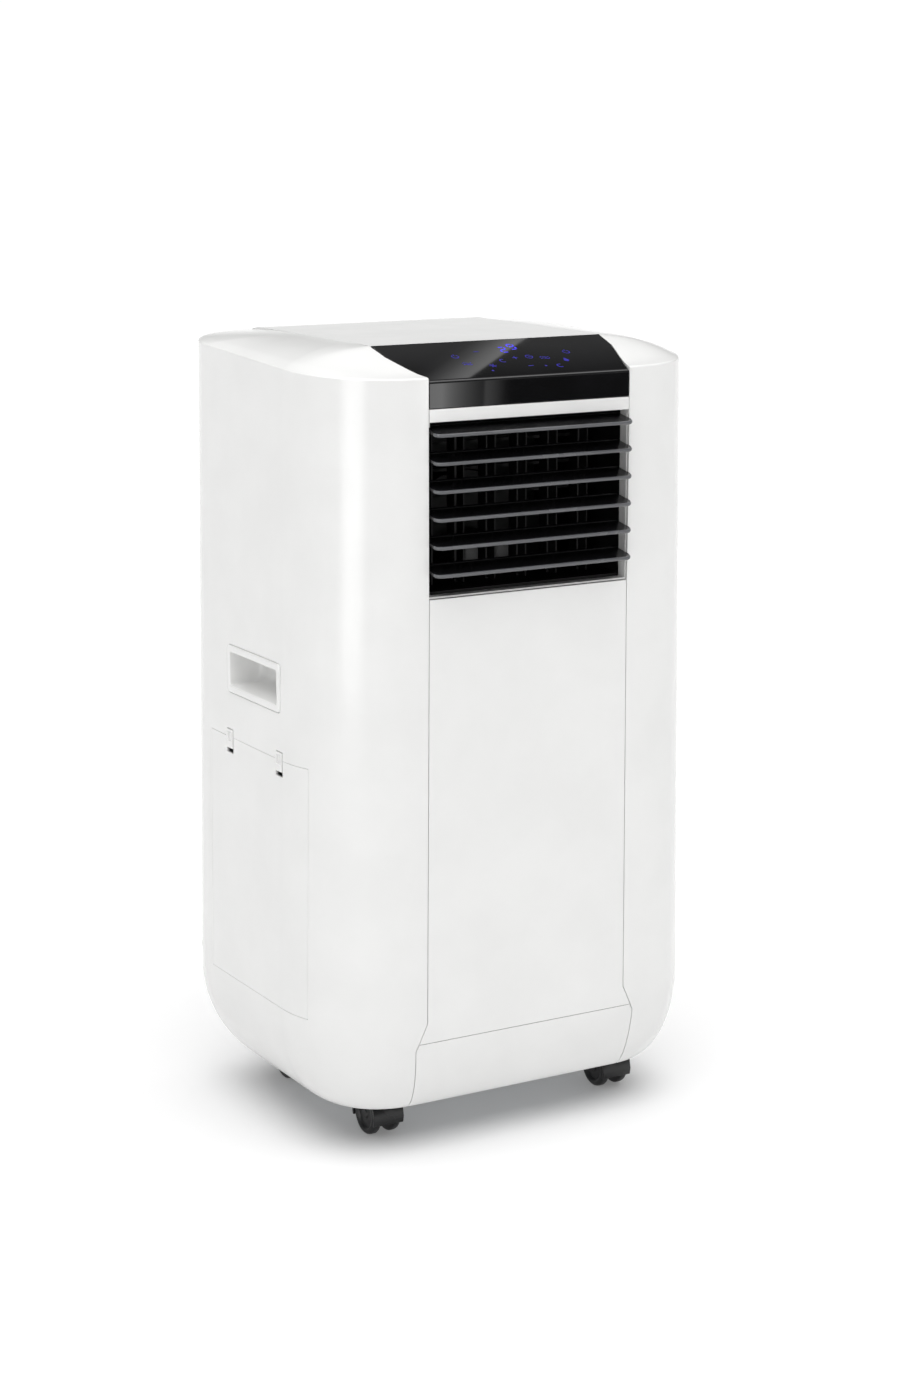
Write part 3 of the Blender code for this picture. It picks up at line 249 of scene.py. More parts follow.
def boolean(obj, tool, operation="DIFFERENCE"):
    """Cut with, join or keep what is inside another solid, apply it and drop the tool."""
    activate(obj)
    modifier = obj.modifiers.new("Boolean", "BOOLEAN")
    modifier.operation = operation
    modifier.solver = "EXACT"
    modifier.object = tool
    bpy.ops.object.modifier_apply(modifier=modifier.name)
    bpy.data.objects.remove(tool, do_unlink=True)
    return obj


def bevel(obj, width, segments=2, angle=35.0, clamp=True):
    """Round the edges that are sharper than an angle."""
    activate(obj)
    modifier = obj.modifiers.new("Rounding", "BEVEL")
    modifier.width = width
    modifier.segments = segments
    modifier.limit_method = "ANGLE"
    modifier.angle_limit = math.radians(angle)
    modifier.use_clamp_overlap = clamp
    modifier.miter_outer = "MITER_ARC"
    bpy.ops.object.modifier_apply(modifier=modifier.name)
    return obj


def smooth(obj, angle=30.0):
    """Smooth shading that keeps edges sharper than an angle."""
    activate(obj)
    bpy.ops.object.shade_smooth_by_angle(angle=math.radians(angle))
    return obj


def weigh(obj):
    """Let the large faces set the shading beside small roundings."""
    activate(obj)
    modifier = obj.modifiers.new("Weighted normals", "WEIGHTED_NORMAL")
    modifier.keep_sharp = True
    modifier.weight = 90
    bpy.ops.object.modifier_apply(modifier=modifier.name)
    return obj


def duplicate(obj, name, shift=(0.0, 0.0, 0.0)):
    """A copy with its own mesh, moved in its mesh."""
    mesh = obj.data.copy()
    mesh.name = name
    copy = bpy.data.objects.new(name, mesh)
    bpy.context.scene.collection.objects.link(copy)
    mesh.transform(Matrix.Translation(shift))
    return copy


def merge(name, pieces):
    """Join loose pieces into one object."""
    activate(pieces[0])
    for piece in pieces[1:]:
        piece.select_set(True)
    bpy.ops.object.join()
    pieces[0].name = name
    pieces[0].data.name = name
    return pieces[0]


def copy_of_node(node, name, width=0.0005, segments=2, angle=35.0, flat=2.0):
    """A merged copy of a CAD node's mesh, with its moulded edges rounded."""
    obj = duplicate(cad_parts[node], name)
    obj.data.materials.clear()
    activate(obj)
    bpy.ops.object.mode_set(mode="EDIT")
    bpy.ops.mesh.select_all(action="SELECT")
    bpy.ops.mesh.remove_doubles(threshold=0.000005)
    bpy.ops.mesh.dissolve_limited(angle_limit=math.radians(flat))
    bpy.ops.object.mode_set(mode="OBJECT")
    if width:
        bevel(obj, width, segments, angle)
    return obj


def finish(obj, body, material, slot, nodes=(), angle=30.0):
    """Give a piece its material and its body, and hide the CAD nodes that it stands for; the slot only decides
    whether its normals are weighted.
    """
    if angle:
        smooth(obj, angle)
    if slot == "white_shell":
        weigh(obj)
    obj.data.materials.clear()
    obj.data.materials.append(material)
    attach(obj, body)
    if nodes:
        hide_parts(*nodes)
    return obj


# ---------------------------------------------------------------- materials
def new_material(name):
    """An empty material with its output, and its tree."""
    material = bpy.data.materials.new(name)
    material.use_nodes = True
    material.node_tree.nodes.clear()
    return material, material.node_tree


def add_node(tree, kind, settings=None, sockets=None, links=None):
    """Add a node, set its properties and sockets, and link its inputs."""
    node = tree.nodes.new(kind)
    for key, value in (settings or {}).items():
        setattr(node, key, value)
    for key, value in (sockets or {}).items():
        node.inputs[key].default_value = value
    for key, (other, output) in (links or {}).items():
        tree.links.new(other.outputs[output], node.inputs[key])
    return node


def pattern(tree, kind, sockets, settings=None):
    """A texture laid on Object coordinates."""
    place = add_node(tree, "ShaderNodeTexCoord")
    return add_node(tree, "ShaderNodeTex" + kind, settings, sockets, {"Vector": (place, "Object")})


def gloss_drift(tree, source, high, roughness, spread):
    """Roughness that follows a noise, a little either side of its middle."""
    return add_node(tree, "ShaderNodeMapRange",
                    sockets={"From Min": 0.3, "From Max": high, "To Min": roughness - spread,
                             "To Max": roughness + spread},
                    links={"Value": (source, "Fac")})


def surfaced(material, sockets, links):
    """Close a material with its surface shader and its output."""
    tree = material.node_tree
    shader = add_node(tree, "ShaderNodeBsdfPrincipled", sockets=sockets, links=links)
    add_node(tree, "ShaderNodeOutputMaterial", links={"Surface": (shader, "BSDF")})
    return material


def ramp(tree, source, output, stops):
    """A colour ramp between hex colours at their places."""
    node = add_node(tree, "ShaderNodeValToRGB", links={"Fac": (source, output)})
    elements = node.color_ramp.elements
    while len(elements) < len(stops):
        elements.new(0.5)
    for element, (place, colour) in zip(elements, stops):
        element.position = place
        element.color = linear(colour)
    return node


def moulded(name, light, dark, roughness, spread, grain_mm, relief_mm, cloud_mm=60.0, specular=0.5,
            glow=0.0):
    """Moulded plastic: a broad drift of tone, a fine skin texture and a varying gloss."""
    material, tree = new_material(name)
    cloud = pattern(tree, "Noise", {"Scale": 1000 / cloud_mm, "Detail": 3.0})
    tone = ramp(tree, cloud, "Fac", ((0.35, dark), (0.65, light)))
    grain = pattern(tree, "Noise", {"Scale": 1000 / grain_mm, "Detail": 2.0, "Roughness": 0.6})
    gloss = gloss_drift(tree, cloud, 0.7, roughness, spread)
    relief = add_node(tree, "ShaderNodeBump",
                      sockets={"Strength": 1.0, "Distance": relief_mm / 1000},
                      links={"Height": (grain, "Fac")})
    return surfaced(material, {"IOR": PLASTIC_IOR, "Specular IOR Level": specular,
                               "Emission Color": WHITE, "Emission Strength": glow},
                    {"Base Color": (tone, "Color"), "Roughness": (gloss, "Result"),
                     "Normal": (relief, "Normal")})


def metal(name, light, dark, roughness, spread, patch_mm):
    """Bare metal: patches of tone, with a fine drawn or rolled grain."""
    material, tree = new_material(name)
    patch = pattern(tree, "Voronoi", {"Scale": 1000 / patch_mm})
    drift = pattern(tree, "Noise", {"Scale": 400 / patch_mm, "Detail": 4.0})
    blend = add_node(tree, "ShaderNodeMath", {"operation": "MULTIPLY_ADD"}, {1: 0.4},
                     {0: (patch, "Distance"), 2: (drift, "Fac")})
    tone = ramp(tree, blend, "Value", ((0.35, dark), (0.80, light)))
    gloss = gloss_drift(tree, drift, 0.8, roughness, spread)
    return surfaced(material, {"Metallic": 1.0}, {"Base Color": (tone, "Color"), "Roughness": (gloss, "Result")})


def fins_material():
    """Pressed aluminium fins on edge, 1.8 mm apart: bright edges, with painted shade in the gaps between."""
    material, tree = new_material("aluminium_fins")
    place = add_node(tree, "ShaderNodeTexCoord")
    stripes = add_node(tree, "ShaderNodeTexWave",
                       {"wave_type": "BANDS", "bands_direction": "X", "wave_profile": "SAW"},
                       {"Scale": 1000 / 1.8 / 20 * math.pi, "Distortion": 0.15, "Detail": 1.0},
                       {"Vector": (place, "Object")})
    # The ramp's dark end is painted shade between the fins, and its light end is the aluminium of their edges.
    tone = ramp(tree, stripes, "Fac", ((0.30, "#3C3F42"), (0.55, "#C9CDD0")))
    relief = add_node(tree, "ShaderNodeBump", sockets={"Strength": 0.8, "Distance": 0.0008},
                      links={"Height": (stripes, "Fac")})
    return surfaced(material, {"Metallic": 1.0, "Roughness": 0.38},
                    {"Base Color": (tone, "Color"), "Normal": (relief, "Normal")})


def board_material():
    """Circuit board: green solder mask over copper tracks about 1.5 mm wide."""
    material, tree = new_material("circuit_board")
    place = add_node(tree, "ShaderNodeTexCoord")
    tracks = add_node(tree, "ShaderNodeTexBrick", {"offset": 0.37},
                      {"Scale": 60.0, "Mortar Size": 0.02, "Color1": linear("#0E4A25"),
                       "Color2": linear("#125A2E"), "Mortar": linear("#3D8A4A")},
                      {"Vector": (place, "Object")})
    return surfaced(material, {"Roughness": 0.35}, {"Base Color": (tracks, "Color")})


def net_material():
    """Woven nylon filter net: threads 1.6 mm apart, drawn coarser than the real 1 mm."""
    material, tree = new_material("nylon_filter_net")
    place = add_node(tree, "ShaderNodeTexCoord")
    waves = []
    for direction in ("X", "Z"):
        waves.append(add_node(tree, "ShaderNodeTexWave",
                              {"wave_type": "BANDS", "bands_direction": direction},
                              {"Scale": 1000 / 1.6 / 20 * math.pi, "Distortion": 0.0},
                              {"Vector": (place, "Object")}))
    weave = add_node(tree, "ShaderNodeMath", {"operation": "MAXIMUM"},
                     links={0: (waves[0], "Fac"), 1: (waves[1], "Fac")})
    tone = ramp(tree, weave, "Value", ((0.55, "#101214"), (0.90, "#4A4F55")))
    relief = add_node(tree, "ShaderNodeBump", sockets={"Strength": 1.0, "Distance": 0.0005},
                      links={"Height": (weave, "Value")})
    return surfaced(material, {"Roughness": 0.60},
                    {"Base Color": (tone, "Color"), "Normal": (relief, "Normal")})


def lamp_material(name, body, glow, strength):
    """Screen-printed mark with a weak light behind it."""
    material, tree = new_material(name)
    patch = pattern(tree, "Noise", {"Scale": 300.0, "Detail": 1.0})
    tone = ramp(tree, patch, "Fac", ((0.3, body), (0.7, glow)))
    return surfaced(material, {"Roughness": 0.2, "Emission Strength": strength, "Emission Color": linear(glow)},
                    {"Base Color": (tone, "Color")})


def make_materials():
    """Every finish on the object."""
    return {
        # High-gloss ABS from a polished mould: near white, with sharp soft-box reflections.
        "gloss_white_abs": moulded("gloss_white_abs", "#E9E9E8", "#E6E6E5", 0.17, 0.015, 3.0, 0.003),
        # The same ABS from a matt-polished mould: softer reflections on grilles and small parts.
        "satin_white_abs": moulded("satin_white_abs", "#E8E8E7", "#E2E2E1", 0.34, 0.03, 0.9, 0.012),
        # Tinted acrylic over black ink: deep black with a mirror gloss.
        "black_acrylic": moulded("black_acrylic", "#0A0A0C", "#060607", 0.022, 0.006, 6.0, 0.0002,
                                 cloud_mm=35.0, specular=0.40),
        # ABS with a fine spark-eroded skin: dark grey with a broad sheen.
        "dark_grey_abs": moulded("dark_grey_abs", "#26272A", "#1E1F21", 0.30, 0.03, 0.8, 0.010),
        # The same ABS on the louver blades, polished finer; their lips are coloured lighter grey as a painted
        # highlight along the front edges.
        "louver_black": moulded("louver_black", "#141416", "#101012", 0.24, 0.03, 0.8, 0.006),
        "louver_grey": moulded("louver_grey", "#5E5F62", "#545558", 0.26, 0.03, 0.8, 0.006),
        # Black ABS deep inside the outlet: little gloss. On the evaporator's scroll its black is also painted shade.
        "black_abs": moulded("black_abs", "#0A0A0B", "#070707", 0.50, 0.05, 0.8, 0.012, specular=0.3),
        # Polypropylene mouldings inside: milky grey and waxy.
        "grey_polypropylene": moulded("grey_polypropylene", "#A9ADB0", "#989C9F", 0.45, 0.05, 1.2, 0.015),
        # Nylon caster forks and wheels: black, half gloss, scuffed.
        "caster_nylon": moulded("caster_nylon", "#19191A", "#111112", 0.28, 0.05, 1.0, 0.008),
        "caster_tread": moulded("caster_tread", "#1C1C1D", "#121213", 0.42, 0.08, 1.5, 0.02),
        # Hot-dip galvanised sheet: spangles about 6 mm across.
        "galvanised_sheet": metal("galvanised_sheet", "#C3C8CB", "#9AA0A4", 0.38, 0.08, 6.0),
        # Drawn copper tube, a little tarnished.
        "drawn_copper": metal("drawn_copper", "#C9744E", "#8E4A2E", 0.30, 0.08, 14.0),
        # Stoved black enamel on the pressed compressor shell; on the evaporator's motor it is also painted shade.
        "black_enamel": moulded("black_enamel", "#17181A", "#0F1011", 0.25, 0.04, 2.0, 0.02),
        "aluminium_fins": fins_material(),
        "circuit_board": board_material(),
        "filter_net": net_material(),
        # Touch marks: violet ink with a dim lamp behind, and the brighter lamp segments of the figures.
        "display_mark": lamp_material("display_mark", "#1B1860", "#2F279C", 0.22),
        "display_figure": lamp_material("display_figure", "#2A22B8", "#4A42E0", 0.80),
    }


# ---------------------------------------------------------------- casing surface
def corner(radius):
    """A quarter of a superellipse, from straight ahead round to the side."""
    points = []
    for step in range(CORNER_STEPS + 1):
        angle = math.pi / 2 * step / CORNER_STEPS
        points.append((radius * math.sin(angle) ** (2 / CORNER_POWER),
                       radius * max(0.0, math.cos(angle)) ** (2 / CORNER_POWER)))
    return points


def casing_section(z, margin=0.0):
    """Plan outline of the casing's outside at a height, moved in by a margin."""
    drop = min(max((TUCK_TOP - z) / (TUCK_TOP - BOTTOM), 0.0), 1.0)
    end = math.radians(TUCK_ANGLE)
    tuck = (1 - math.cos(math.asin(drop * math.sin(end)))) / (1 - math.cos(end))
    half = (HALF_WIDTH - TUCK_SIDE * tuck) * (1 + FLARE * (MID_HEIGHT - z)) - margin
    front, rear = FRONT_Y + TUCK_FRONT * tuck + margin, REAR_Y - TUCK_REAR * tuck - margin
    front_radius = FRONT_RADIUS + (LOW_FRONT_RADIUS - FRONT_RADIUS) * tuck - margin
    rear_radius = REAR_RADIUS + (LOW_REAR_RADIUS - REAR_RADIUS) * tuck - margin
    right = [(half - front_radius + x, front + front_radius - y) for x, y in corner(front_radius)]
    right += [(half - rear_radius + x, rear - rear_radius + y) for x, y in reversed(corner(rear_radius))]
    return right + [(-x, y) for x, y in reversed(right)]


def rim_height(y):
    """Height of the top's outer edge, which rises towards the back."""
    return RIM_FRONT + RIM_SLOPE * (y - FRONT_Y)


def top_height(y, scale):
    """Height of the top, at a point of the outline shrunk by a scale."""
    ahead = min(max((y - FRONT_Y) / (DISPLAY_HIGH[1] + SEAM - FRONT_Y), 0.0), 1.0)
    inward = min(max((1 - scale) / (1 - STRIP_HALF_REAR / HALF_WIDTH), 0.0), 1.0)
    rise = ahead * (1 - (1 - inward) ** 2)
    return rim_height(y) + (TOP_HEIGHT - rim_height(y)) * rise


def make_casing_skin():
    """The whole casing: down the inside from the top, round the bottom edge, up the outside."""
    end = math.radians(TUCK_ANGLE)
    heights = [TUCK_TOP - (TUCK_TOP - BOTTOM) * math.sin(end * level / TUCK_LEVELS) / math.sin(end)
               for level in range(TUCK_LEVELS, -1, -1)]
    inner = [[(x, y, z) for x, y in casing_section(z, WALL)] for z in heights]
    outline = casing_section(RIM_FRONT, WALL)
    inner.append([(x, y, rim_height(y) - 0.0035) for x, y in outline])
    for step in range(12):
        scale = 0.985 - (0.985 - 0.50) * step / 11
        inner.append([(x * scale, y * scale, top_height(y * scale, scale) - WALL) for x, y in outline])
    outer = [[(x, y, z) for x, y in casing_section(z)] for z in heights + [0.2, 0.3, 0.4, 0.5, 0.6]]
    outline = casing_section(RIM_FRONT)
    edge = HALF_DEPTH * (1 - RIM_EDGE)
    for step in range(5):
        angle = math.pi / 2 * step / 4
        scale = RIM_EDGE + (1 - RIM_EDGE) * math.cos(angle)
        lift = edge * (math.sin(angle) - 1)
        outer.append([(x * scale, y * scale, rim_height(y) + lift) for x, y in outline])
    for step in range(1, 17):
        scale = RIM_EDGE - (RIM_EDGE - 0.50) * step / 16
        outer.append([(x * scale, y * scale, top_height(y * scale, scale)) for x, y in outline])
    return loft("casing_skin", list(reversed(inner)) + outer)


def strip_outline(gap):
    """Plan of the middle strip between the side shells."""
    right = [
        (STRIP_HALF_FRONT + gap, FRONT_Y - 0.05),
        (STRIP_HALF_FRONT + gap, FRONT_Y + 0.004),
        (STRIP_KINK[0] + gap, FRONT_Y + STRIP_KINK[1]),
        (STRIP_HALF_REAR + gap, DISPLAY_HIGH[1] + SEAM),
        (STRIP_HALF_REAR + gap, REAR_Y + 0.05),
    ]
    return right + [(-x, y) for x, y in reversed(right)]


def panel_outline(gap, top):
    """The front panel from the front, with the step in its seams near the bottom."""
    right = [(STRIP_HALF_FRONT + gap, top)] + [(x + gap, z) for x, z in JOGS]
    return right + [(-x, z) for x, z in reversed(right)]


def grown(node, gap, reach=()):
    """A node's box as a block, grown by a gap; reach moves faces further: (axis, side, place)."""
    low, high = corners_of(node)
    low -= Vector((gap,) * 3)
    high += Vector((gap,) * 3)
    for axis, side, place in reach:
        (low if side < 0 else high)[axis] = place
    return block(node + "_space", low, high)


def door_window(gap):
    """The block of space that the service door fills."""
    return block("door_window", (-0.3, DOOR_Y[0] - gap, DOOR_Z[0] - gap),
                 (-0.12, DOOR_Y[1] + gap, DOOR_Z[1] + gap))


def rounded_outline(y, z, half_y, half_z, radius):
    """A rectangle in Y and Z with round corners."""
    outline = []
    for quarter in range(4):
        for step in range(7):
            angle = math.pi / 2 * (quarter + step / 6)
            outline.append((y + (half_y - radius) * (1 if quarter in (0, 3) else -1) + radius * math.cos(angle),
                            z + (half_z - radius) * (1 if quarter in (0, 1) else -1) + radius * math.sin(angle)))
    return outline


def latch_window(name, gap, travel):
    """The block of space round one door latch."""
    low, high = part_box(name)
    return block("latch_window", (-0.22, low[1] - gap, low[2] - gap - travel),
                 (-0.18, high[1] + gap, high[2] + gap))


def make_side_shell(skin, side, name):
    """One side of the casing, with its corner columns and its share of the top."""
    shell = duplicate(skin, name + "_moulding")
    x = sorted((-side * 0.3, 0.0))
    boolean(shell, block("other_half", (x[0], -0.4, -0.1), (x[1], 0.4, 0.9)))
    boolean(shell, slab("strip", strip_outline(SEAM), 0.0, 0.8))
    boolean(shell, slab("jog", panel_outline(SEAM, 0.49), FRONT_Y - 0.05, FRONT_Y + 0.06, "XZ"))
    cup = "handle_cup_left" if side < 0 else "handle_cup_right"
    low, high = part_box(cup)
    window = rounded_outline((low[1] + high[1]) / 2, (low[2] + high[2]) / 2, (high[1] - low[1]) / 2 + 0.0003,
                             (high[2] - low[2]) / 2 + 0.0003, 0.0053)
    boolean(shell, slab("cup_window", window, *sorted((side * 0.15, side * 0.3)), "YZ"))
    if side < 0:
        boolean(shell, door_window(0.0002))
        boolean(shell, latch_window("door_latch_front", 0.0005, 0.0))
        boolean(shell, latch_window("door_latch_rear", 0.0005, 0.0))
        low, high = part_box("drain_spout")
        x, z = (low[0] + high[0]) / 2, (low[2] + high[2]) / 2
        boolean(shell, rod("drain_hole", (x, 0.10, z), (x, 0.17, z), 0.0053, 32))
    bevel(shell, EDGE_ROUND, 2, 50.0, clamp=False)
    return finish(shell, "casing", MATERIALS["gloss_white_abs"], "white_shell", (name,))


def make_panels(skin):
    """Front panel, rear panel and service door, all cut from the same skin."""
    front = duplicate(skin, "front_panel_moulding")
    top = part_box("front_panel")[1][2]
    boolean(front, slab("panel_region", panel_outline(-SEAM, top), FRONT_Y - 0.05, FRONT_Y + 0.05, "XZ"),
            "INTERSECT")
    bevel(front, EDGE_ROUND, 2, 50.0, clamp=False)
    finish(front, "casing", MATERIALS["gloss_white_abs"], "white_shell", ("front_panel",))

    rear = duplicate(skin, "rear_panel_moulding")
    half = STRIP_HALF_REAR - SEAM
    boolean(rear, block("rear_region", (-half, 0.05, 0.0), (half, 0.3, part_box("rear_panel")[1][2])),
            "INTERSECT")
    for node in ("upper_filter", "lower_filter"):
        boolean(rear, grown(node, 0.0005, ((1, -1, 0.0), (1, 1, 0.3))))
    boolean(rear, rod("port_hole", (0.0, 0.12, PORT_Z), (0.0, 0.2, PORT_Z), PORT_HOLE, 96))
    boolean(rear, rod("gland_hole", (GLAND[0], 0.12, GLAND[1]), (GLAND[0], 0.2, GLAND[1]), GLAND_HOLE, 32))
    bevel(rear, EDGE_ROUND, 2, 50.0, clamp=False)
    finish(rear, "casing", MATERIALS["gloss_white_abs"], "white_shell", ("rear_panel",))

    door = duplicate(skin, "service_door_moulding")
    boolean(door, door_window(0.0), "INTERSECT")
    for name in ("door_latch_front", "door_latch_rear"):
        boolean(door, latch_window(name, 0.0005, 0.004))
    bevel(door, EDGE_ROUND, 2, 50.0, clamp=False)
    hooks = []
    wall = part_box("service_door")[0][0]
    for y in (-0.043, 0.046):
        hook = block("hook", (wall + 0.0031, y - 0.006, 0.1215), (wall + 0.0051, y + 0.006, 0.133))
        boolean(hook, block("hook_root", (wall + 0.0022, y - 0.006, 0.128), (wall + 0.0045, y + 0.006, 0.133)),
                "UNION")
        hooks.append(bevel(hook, 0.0005, 2))
    door = merge("service_door_moulding", [door] + hooks)
    finish(door, "service_door", MATERIALS["gloss_white_abs"], "white_shell", ("service_door",))


def curve(start, middle, end, steps):
    """Points of a quadratic curve between two points, drawn towards a third."""
    points = []
    for step in range(steps + 1):
        t = step / steps
        points.append(tuple(a * (1 - t) ** 2 + b * 2 * t * (1 - t) + c * t * t
                            for a, b, c in zip(start, middle, end)))
    return points


def make_display():
    """Acrylic cover: an upright fascia that turns back over a tight bend into the sloping display."""
    back, top = DISPLAY_HIGH[1], DISPLAY_HIGH[2]
    foot = DISPLAY_LOW[2]
    bend_y, bend_z = FRONT_Y + 0.0020, 0.6764
    slope = (top - bend_z) / (back - bend_y)
    outline = [(FRONT_Y, foot)]
    outline += curve((FRONT_Y, bend_z - 0.0026), (FRONT_Y + 0.0001, bend_z - 0.0004),
                     (bend_y + 0.0012, bend_z + 0.0012 * slope), 6)
    outline += [(back, top), (back, top - 0.003), (FRONT_Y + 0.005, bend_z - 0.0030), (FRONT_Y + 0.003, 0.668),
                (FRONT_Y + 0.003, foot)]
    cover = slab("display_cover_acrylic", outline, -0.15, 0.15, "YZ")
    boolean(cover, slab("display_region", strip_outline(-SEAM), 0.5, 0.8), "INTERSECT")
    bevel(cover, 0.0003, 2, 40.0, clamp=False)
    smooth(cover, 20.0)
    weigh(cover)
    finish(cover, "casing", MATERIALS["black_acrylic"], "black_gloss", ("display_cover",), 0)
    return bend_y, bend_z, slope


def make_marks(bend_y, bend_z, slope):
    """Touch marks just proud of the sloping display: rings, bars and two lamp figures."""
    up = 1.0 / math.sqrt(1 + slope * slope)

    def lay(name, outline, centre, lifts=(-0.00006, 0.00008)):
        """A flat outline laid on the display, (across, back) from a centre, between two lifts."""
        rings = []
        for lift in lifts:
            level = []
            for across, back in outline:
                y = centre[1] + back * up
                level.append((centre[0] + across, y - lift * slope * up, bend_z + slope * (y - bend_y) + lift * up))
            rings.append(level)
        return loft(name, rings)

    def bar(centre, start, end, width=0.0009):
        a, b = Vector(start), Vector(end)
        side = (b - a).normalized() * width / 2
        side = Vector((-side.y, side.x))
        return lay("stroke", [a + side, a - side, b - side, b + side], centre)

    def ring(centre, radius, width=0.0008, start=0.0, end=360.0, steps=20):
        parts = [math.radians(start + (end - start) * step / steps) for step in range(steps + 1)]
        def circle(edge, points):
            return [((radius + edge) * math.cos(t), (radius + edge) * math.sin(t)) for t in points]

        if end - start >= 360.0:
            disc = lay("ring", circle(width / 2, parts[:-1]), centre)
            return boolean(disc, lay("ring_hole", circle(-width / 2, parts[:-1]), centre, (-0.001, 0.001)))
        return lay("arc", circle(width / 2, parts) + circle(-width / 2, list(reversed(parts))), centre)

    def power(c):
        return [ring(c, 0.0030, 0.0009, 120.0, 420.0), bar(c, (0.0, 0.0012), (0.0, 0.0042))]

    def plus(c):
        return [bar(c, (-0.0028, 0.0), (0.0028, 0.0)), bar(c, (0.0, -0.0028), (0.0, -0.0005)),
                bar(c, (0.0, 0.0005), (0.0, 0.0028))]

    def minus(c):
        return [bar(c, (-0.0028, 0.0), (0.0028, 0.0))]

    def clock(c):
        return [ring(c, 0.0032), bar(c, (0.0, 0.0), (0.0, 0.0022), 0.0007),
                bar(c, (0.0003, 0.0), (0.0018, 0.0), 0.0007)]

    def star(c):
        strokes = []
        for turn in range(3):
            angle = math.radians(60 * turn)
            reach = (0.0036 * math.cos(angle), 0.0036 * math.sin(angle))
            start = (0.0, 0.0) if turn else (-reach[0], -reach[1])
            strokes.append(bar(c, start, reach, 0.0008))
            if turn:
                strokes.append(bar(c, (-reach[0], -reach[1]), (-reach[0] * 0.15, -reach[1] * 0.15), 0.0008))
        return strokes

    def waves(c):
        arcs = ((-0.0022, -0.0024, 20.0), (-0.0022, 0.0004, 20.0), (0.0022, 0.0002, 200.0), (0.0022, 0.0030, 200.0))
        return [ring((c[0] + x, c[1] + y), 0.0022, 0.0008, start, start + 140.0, 8) for x, y, start in arcs]

    def moon(c):
        return [ring(c, 0.0028, 0.0012, 60.0, 300.0, 14)]

    def drop(c):
        outline = [(0.0, 0.0044)]
        for step in range(13):
            angle = math.radians(150 + 240 * step / 12)
            outline.append((0.0024 * math.cos(angle), 0.0024 * math.sin(angle) - 0.0006))
        return [lay("drop", outline, c)]

    def dot(c):
        return [lay("dot", [(0.0012 * math.cos(math.pi * step / 6), 0.0012 * math.sin(math.pi * step / 6))
                            for step in range(12)], c)]

    def figure(c, segments):
        w, h = 0.0030, 0.0052
        places = {"a": ((-w, h), (w, h)), "g": ((-w, 0.0), (w, 0.0)), "d": ((-w, -h), (w, -h)),
                  "f": ((-w, h), (-w, 0.0)), "b": ((w, h), (w, 0.0)), "e": ((-w, 0.0), (-w, -h)),
                  "c": ((w, 0.0), (w, -h))}
        strokes = []
        for key in segments:
            start, end = Vector(places[key][0]), Vector(places[key][1])
            trim = (end - start).normalized() * 0.0009
            strokes.append(bar(c, start + trim, end - trim, 0.0013))
        return strokes

    rows = (
        (power, -0.0490, -0.1114), (minus, -0.0243, -0.1042), (star, -0.0241, -0.1321), (waves, -0.0455, -0.1265),
        (moon, -0.0093, -0.1239), (plus, 0.0051, -0.1196), (clock, 0.0193, -0.1192), (waves, 0.0331, -0.1228),
        (drop, 0.0505, -0.1288), (dot, -0.0295, -0.1413), (minus, 0.0109, -0.1362), (dot, 0.0248, -0.1379),
        (moon, 0.0385, -0.1390), (power, 0.0600, -0.1137),
    )
    strokes = []
    for shape, x, y in rows:
        strokes += shape((x, y))
    finish(merge("display_touch_marks", strokes), "casing", MATERIALS["display_mark"], None, (), 0)
    strokes = figure((0.0030, -0.1032), "abged") + figure((0.0140, -0.0983), "afgcbd")
    finish(merge("display_figures", strokes), "casing", MATERIALS["display_figure"], None, (), 0)


def make_top_cover():
    """White middle strip of the top, which turns down at the back."""
    low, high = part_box("top_cover")
    half = high[0]
    back = high[1]
    rim = rim_height(back)
    outline = [(low[1], TOP_HEIGHT)]
    outline += curve((back - 0.034, TOP_HEIGHT), (back - 0.006, TOP_HEIGHT + 0.0004), (back, rim - 0.004), 7)
    outline += [(back, low[2]), (back - 0.003, low[2]), (back - 0.003, rim - 0.005),
                (back - 0.012, TOP_HEIGHT - 0.005), (back - 0.034, TOP_HEIGHT - 0.003), (low[1], TOP_HEIGHT - 0.003)]
    cover = slab("top_cover_moulding", outline, -half, half, "YZ")
    bevel(cover, EDGE_ROUND, 2, 40.0, clamp=False)
    finish(cover, "casing", MATERIALS["gloss_white_abs"], "white_shell", ("top_cover",))


# ---------------------------------------------------------------- outlet
def make_bezel():
    """White strip over the outlet, with the jambs that run back from the opening."""
    bezel = copy_of_node("outlet_bezel", "outlet_bezel_moulding", 0.0005, 3)
    finish(bezel, "casing", MATERIALS["gloss_white_abs"], "white_shell", ("outlet_bezel",))


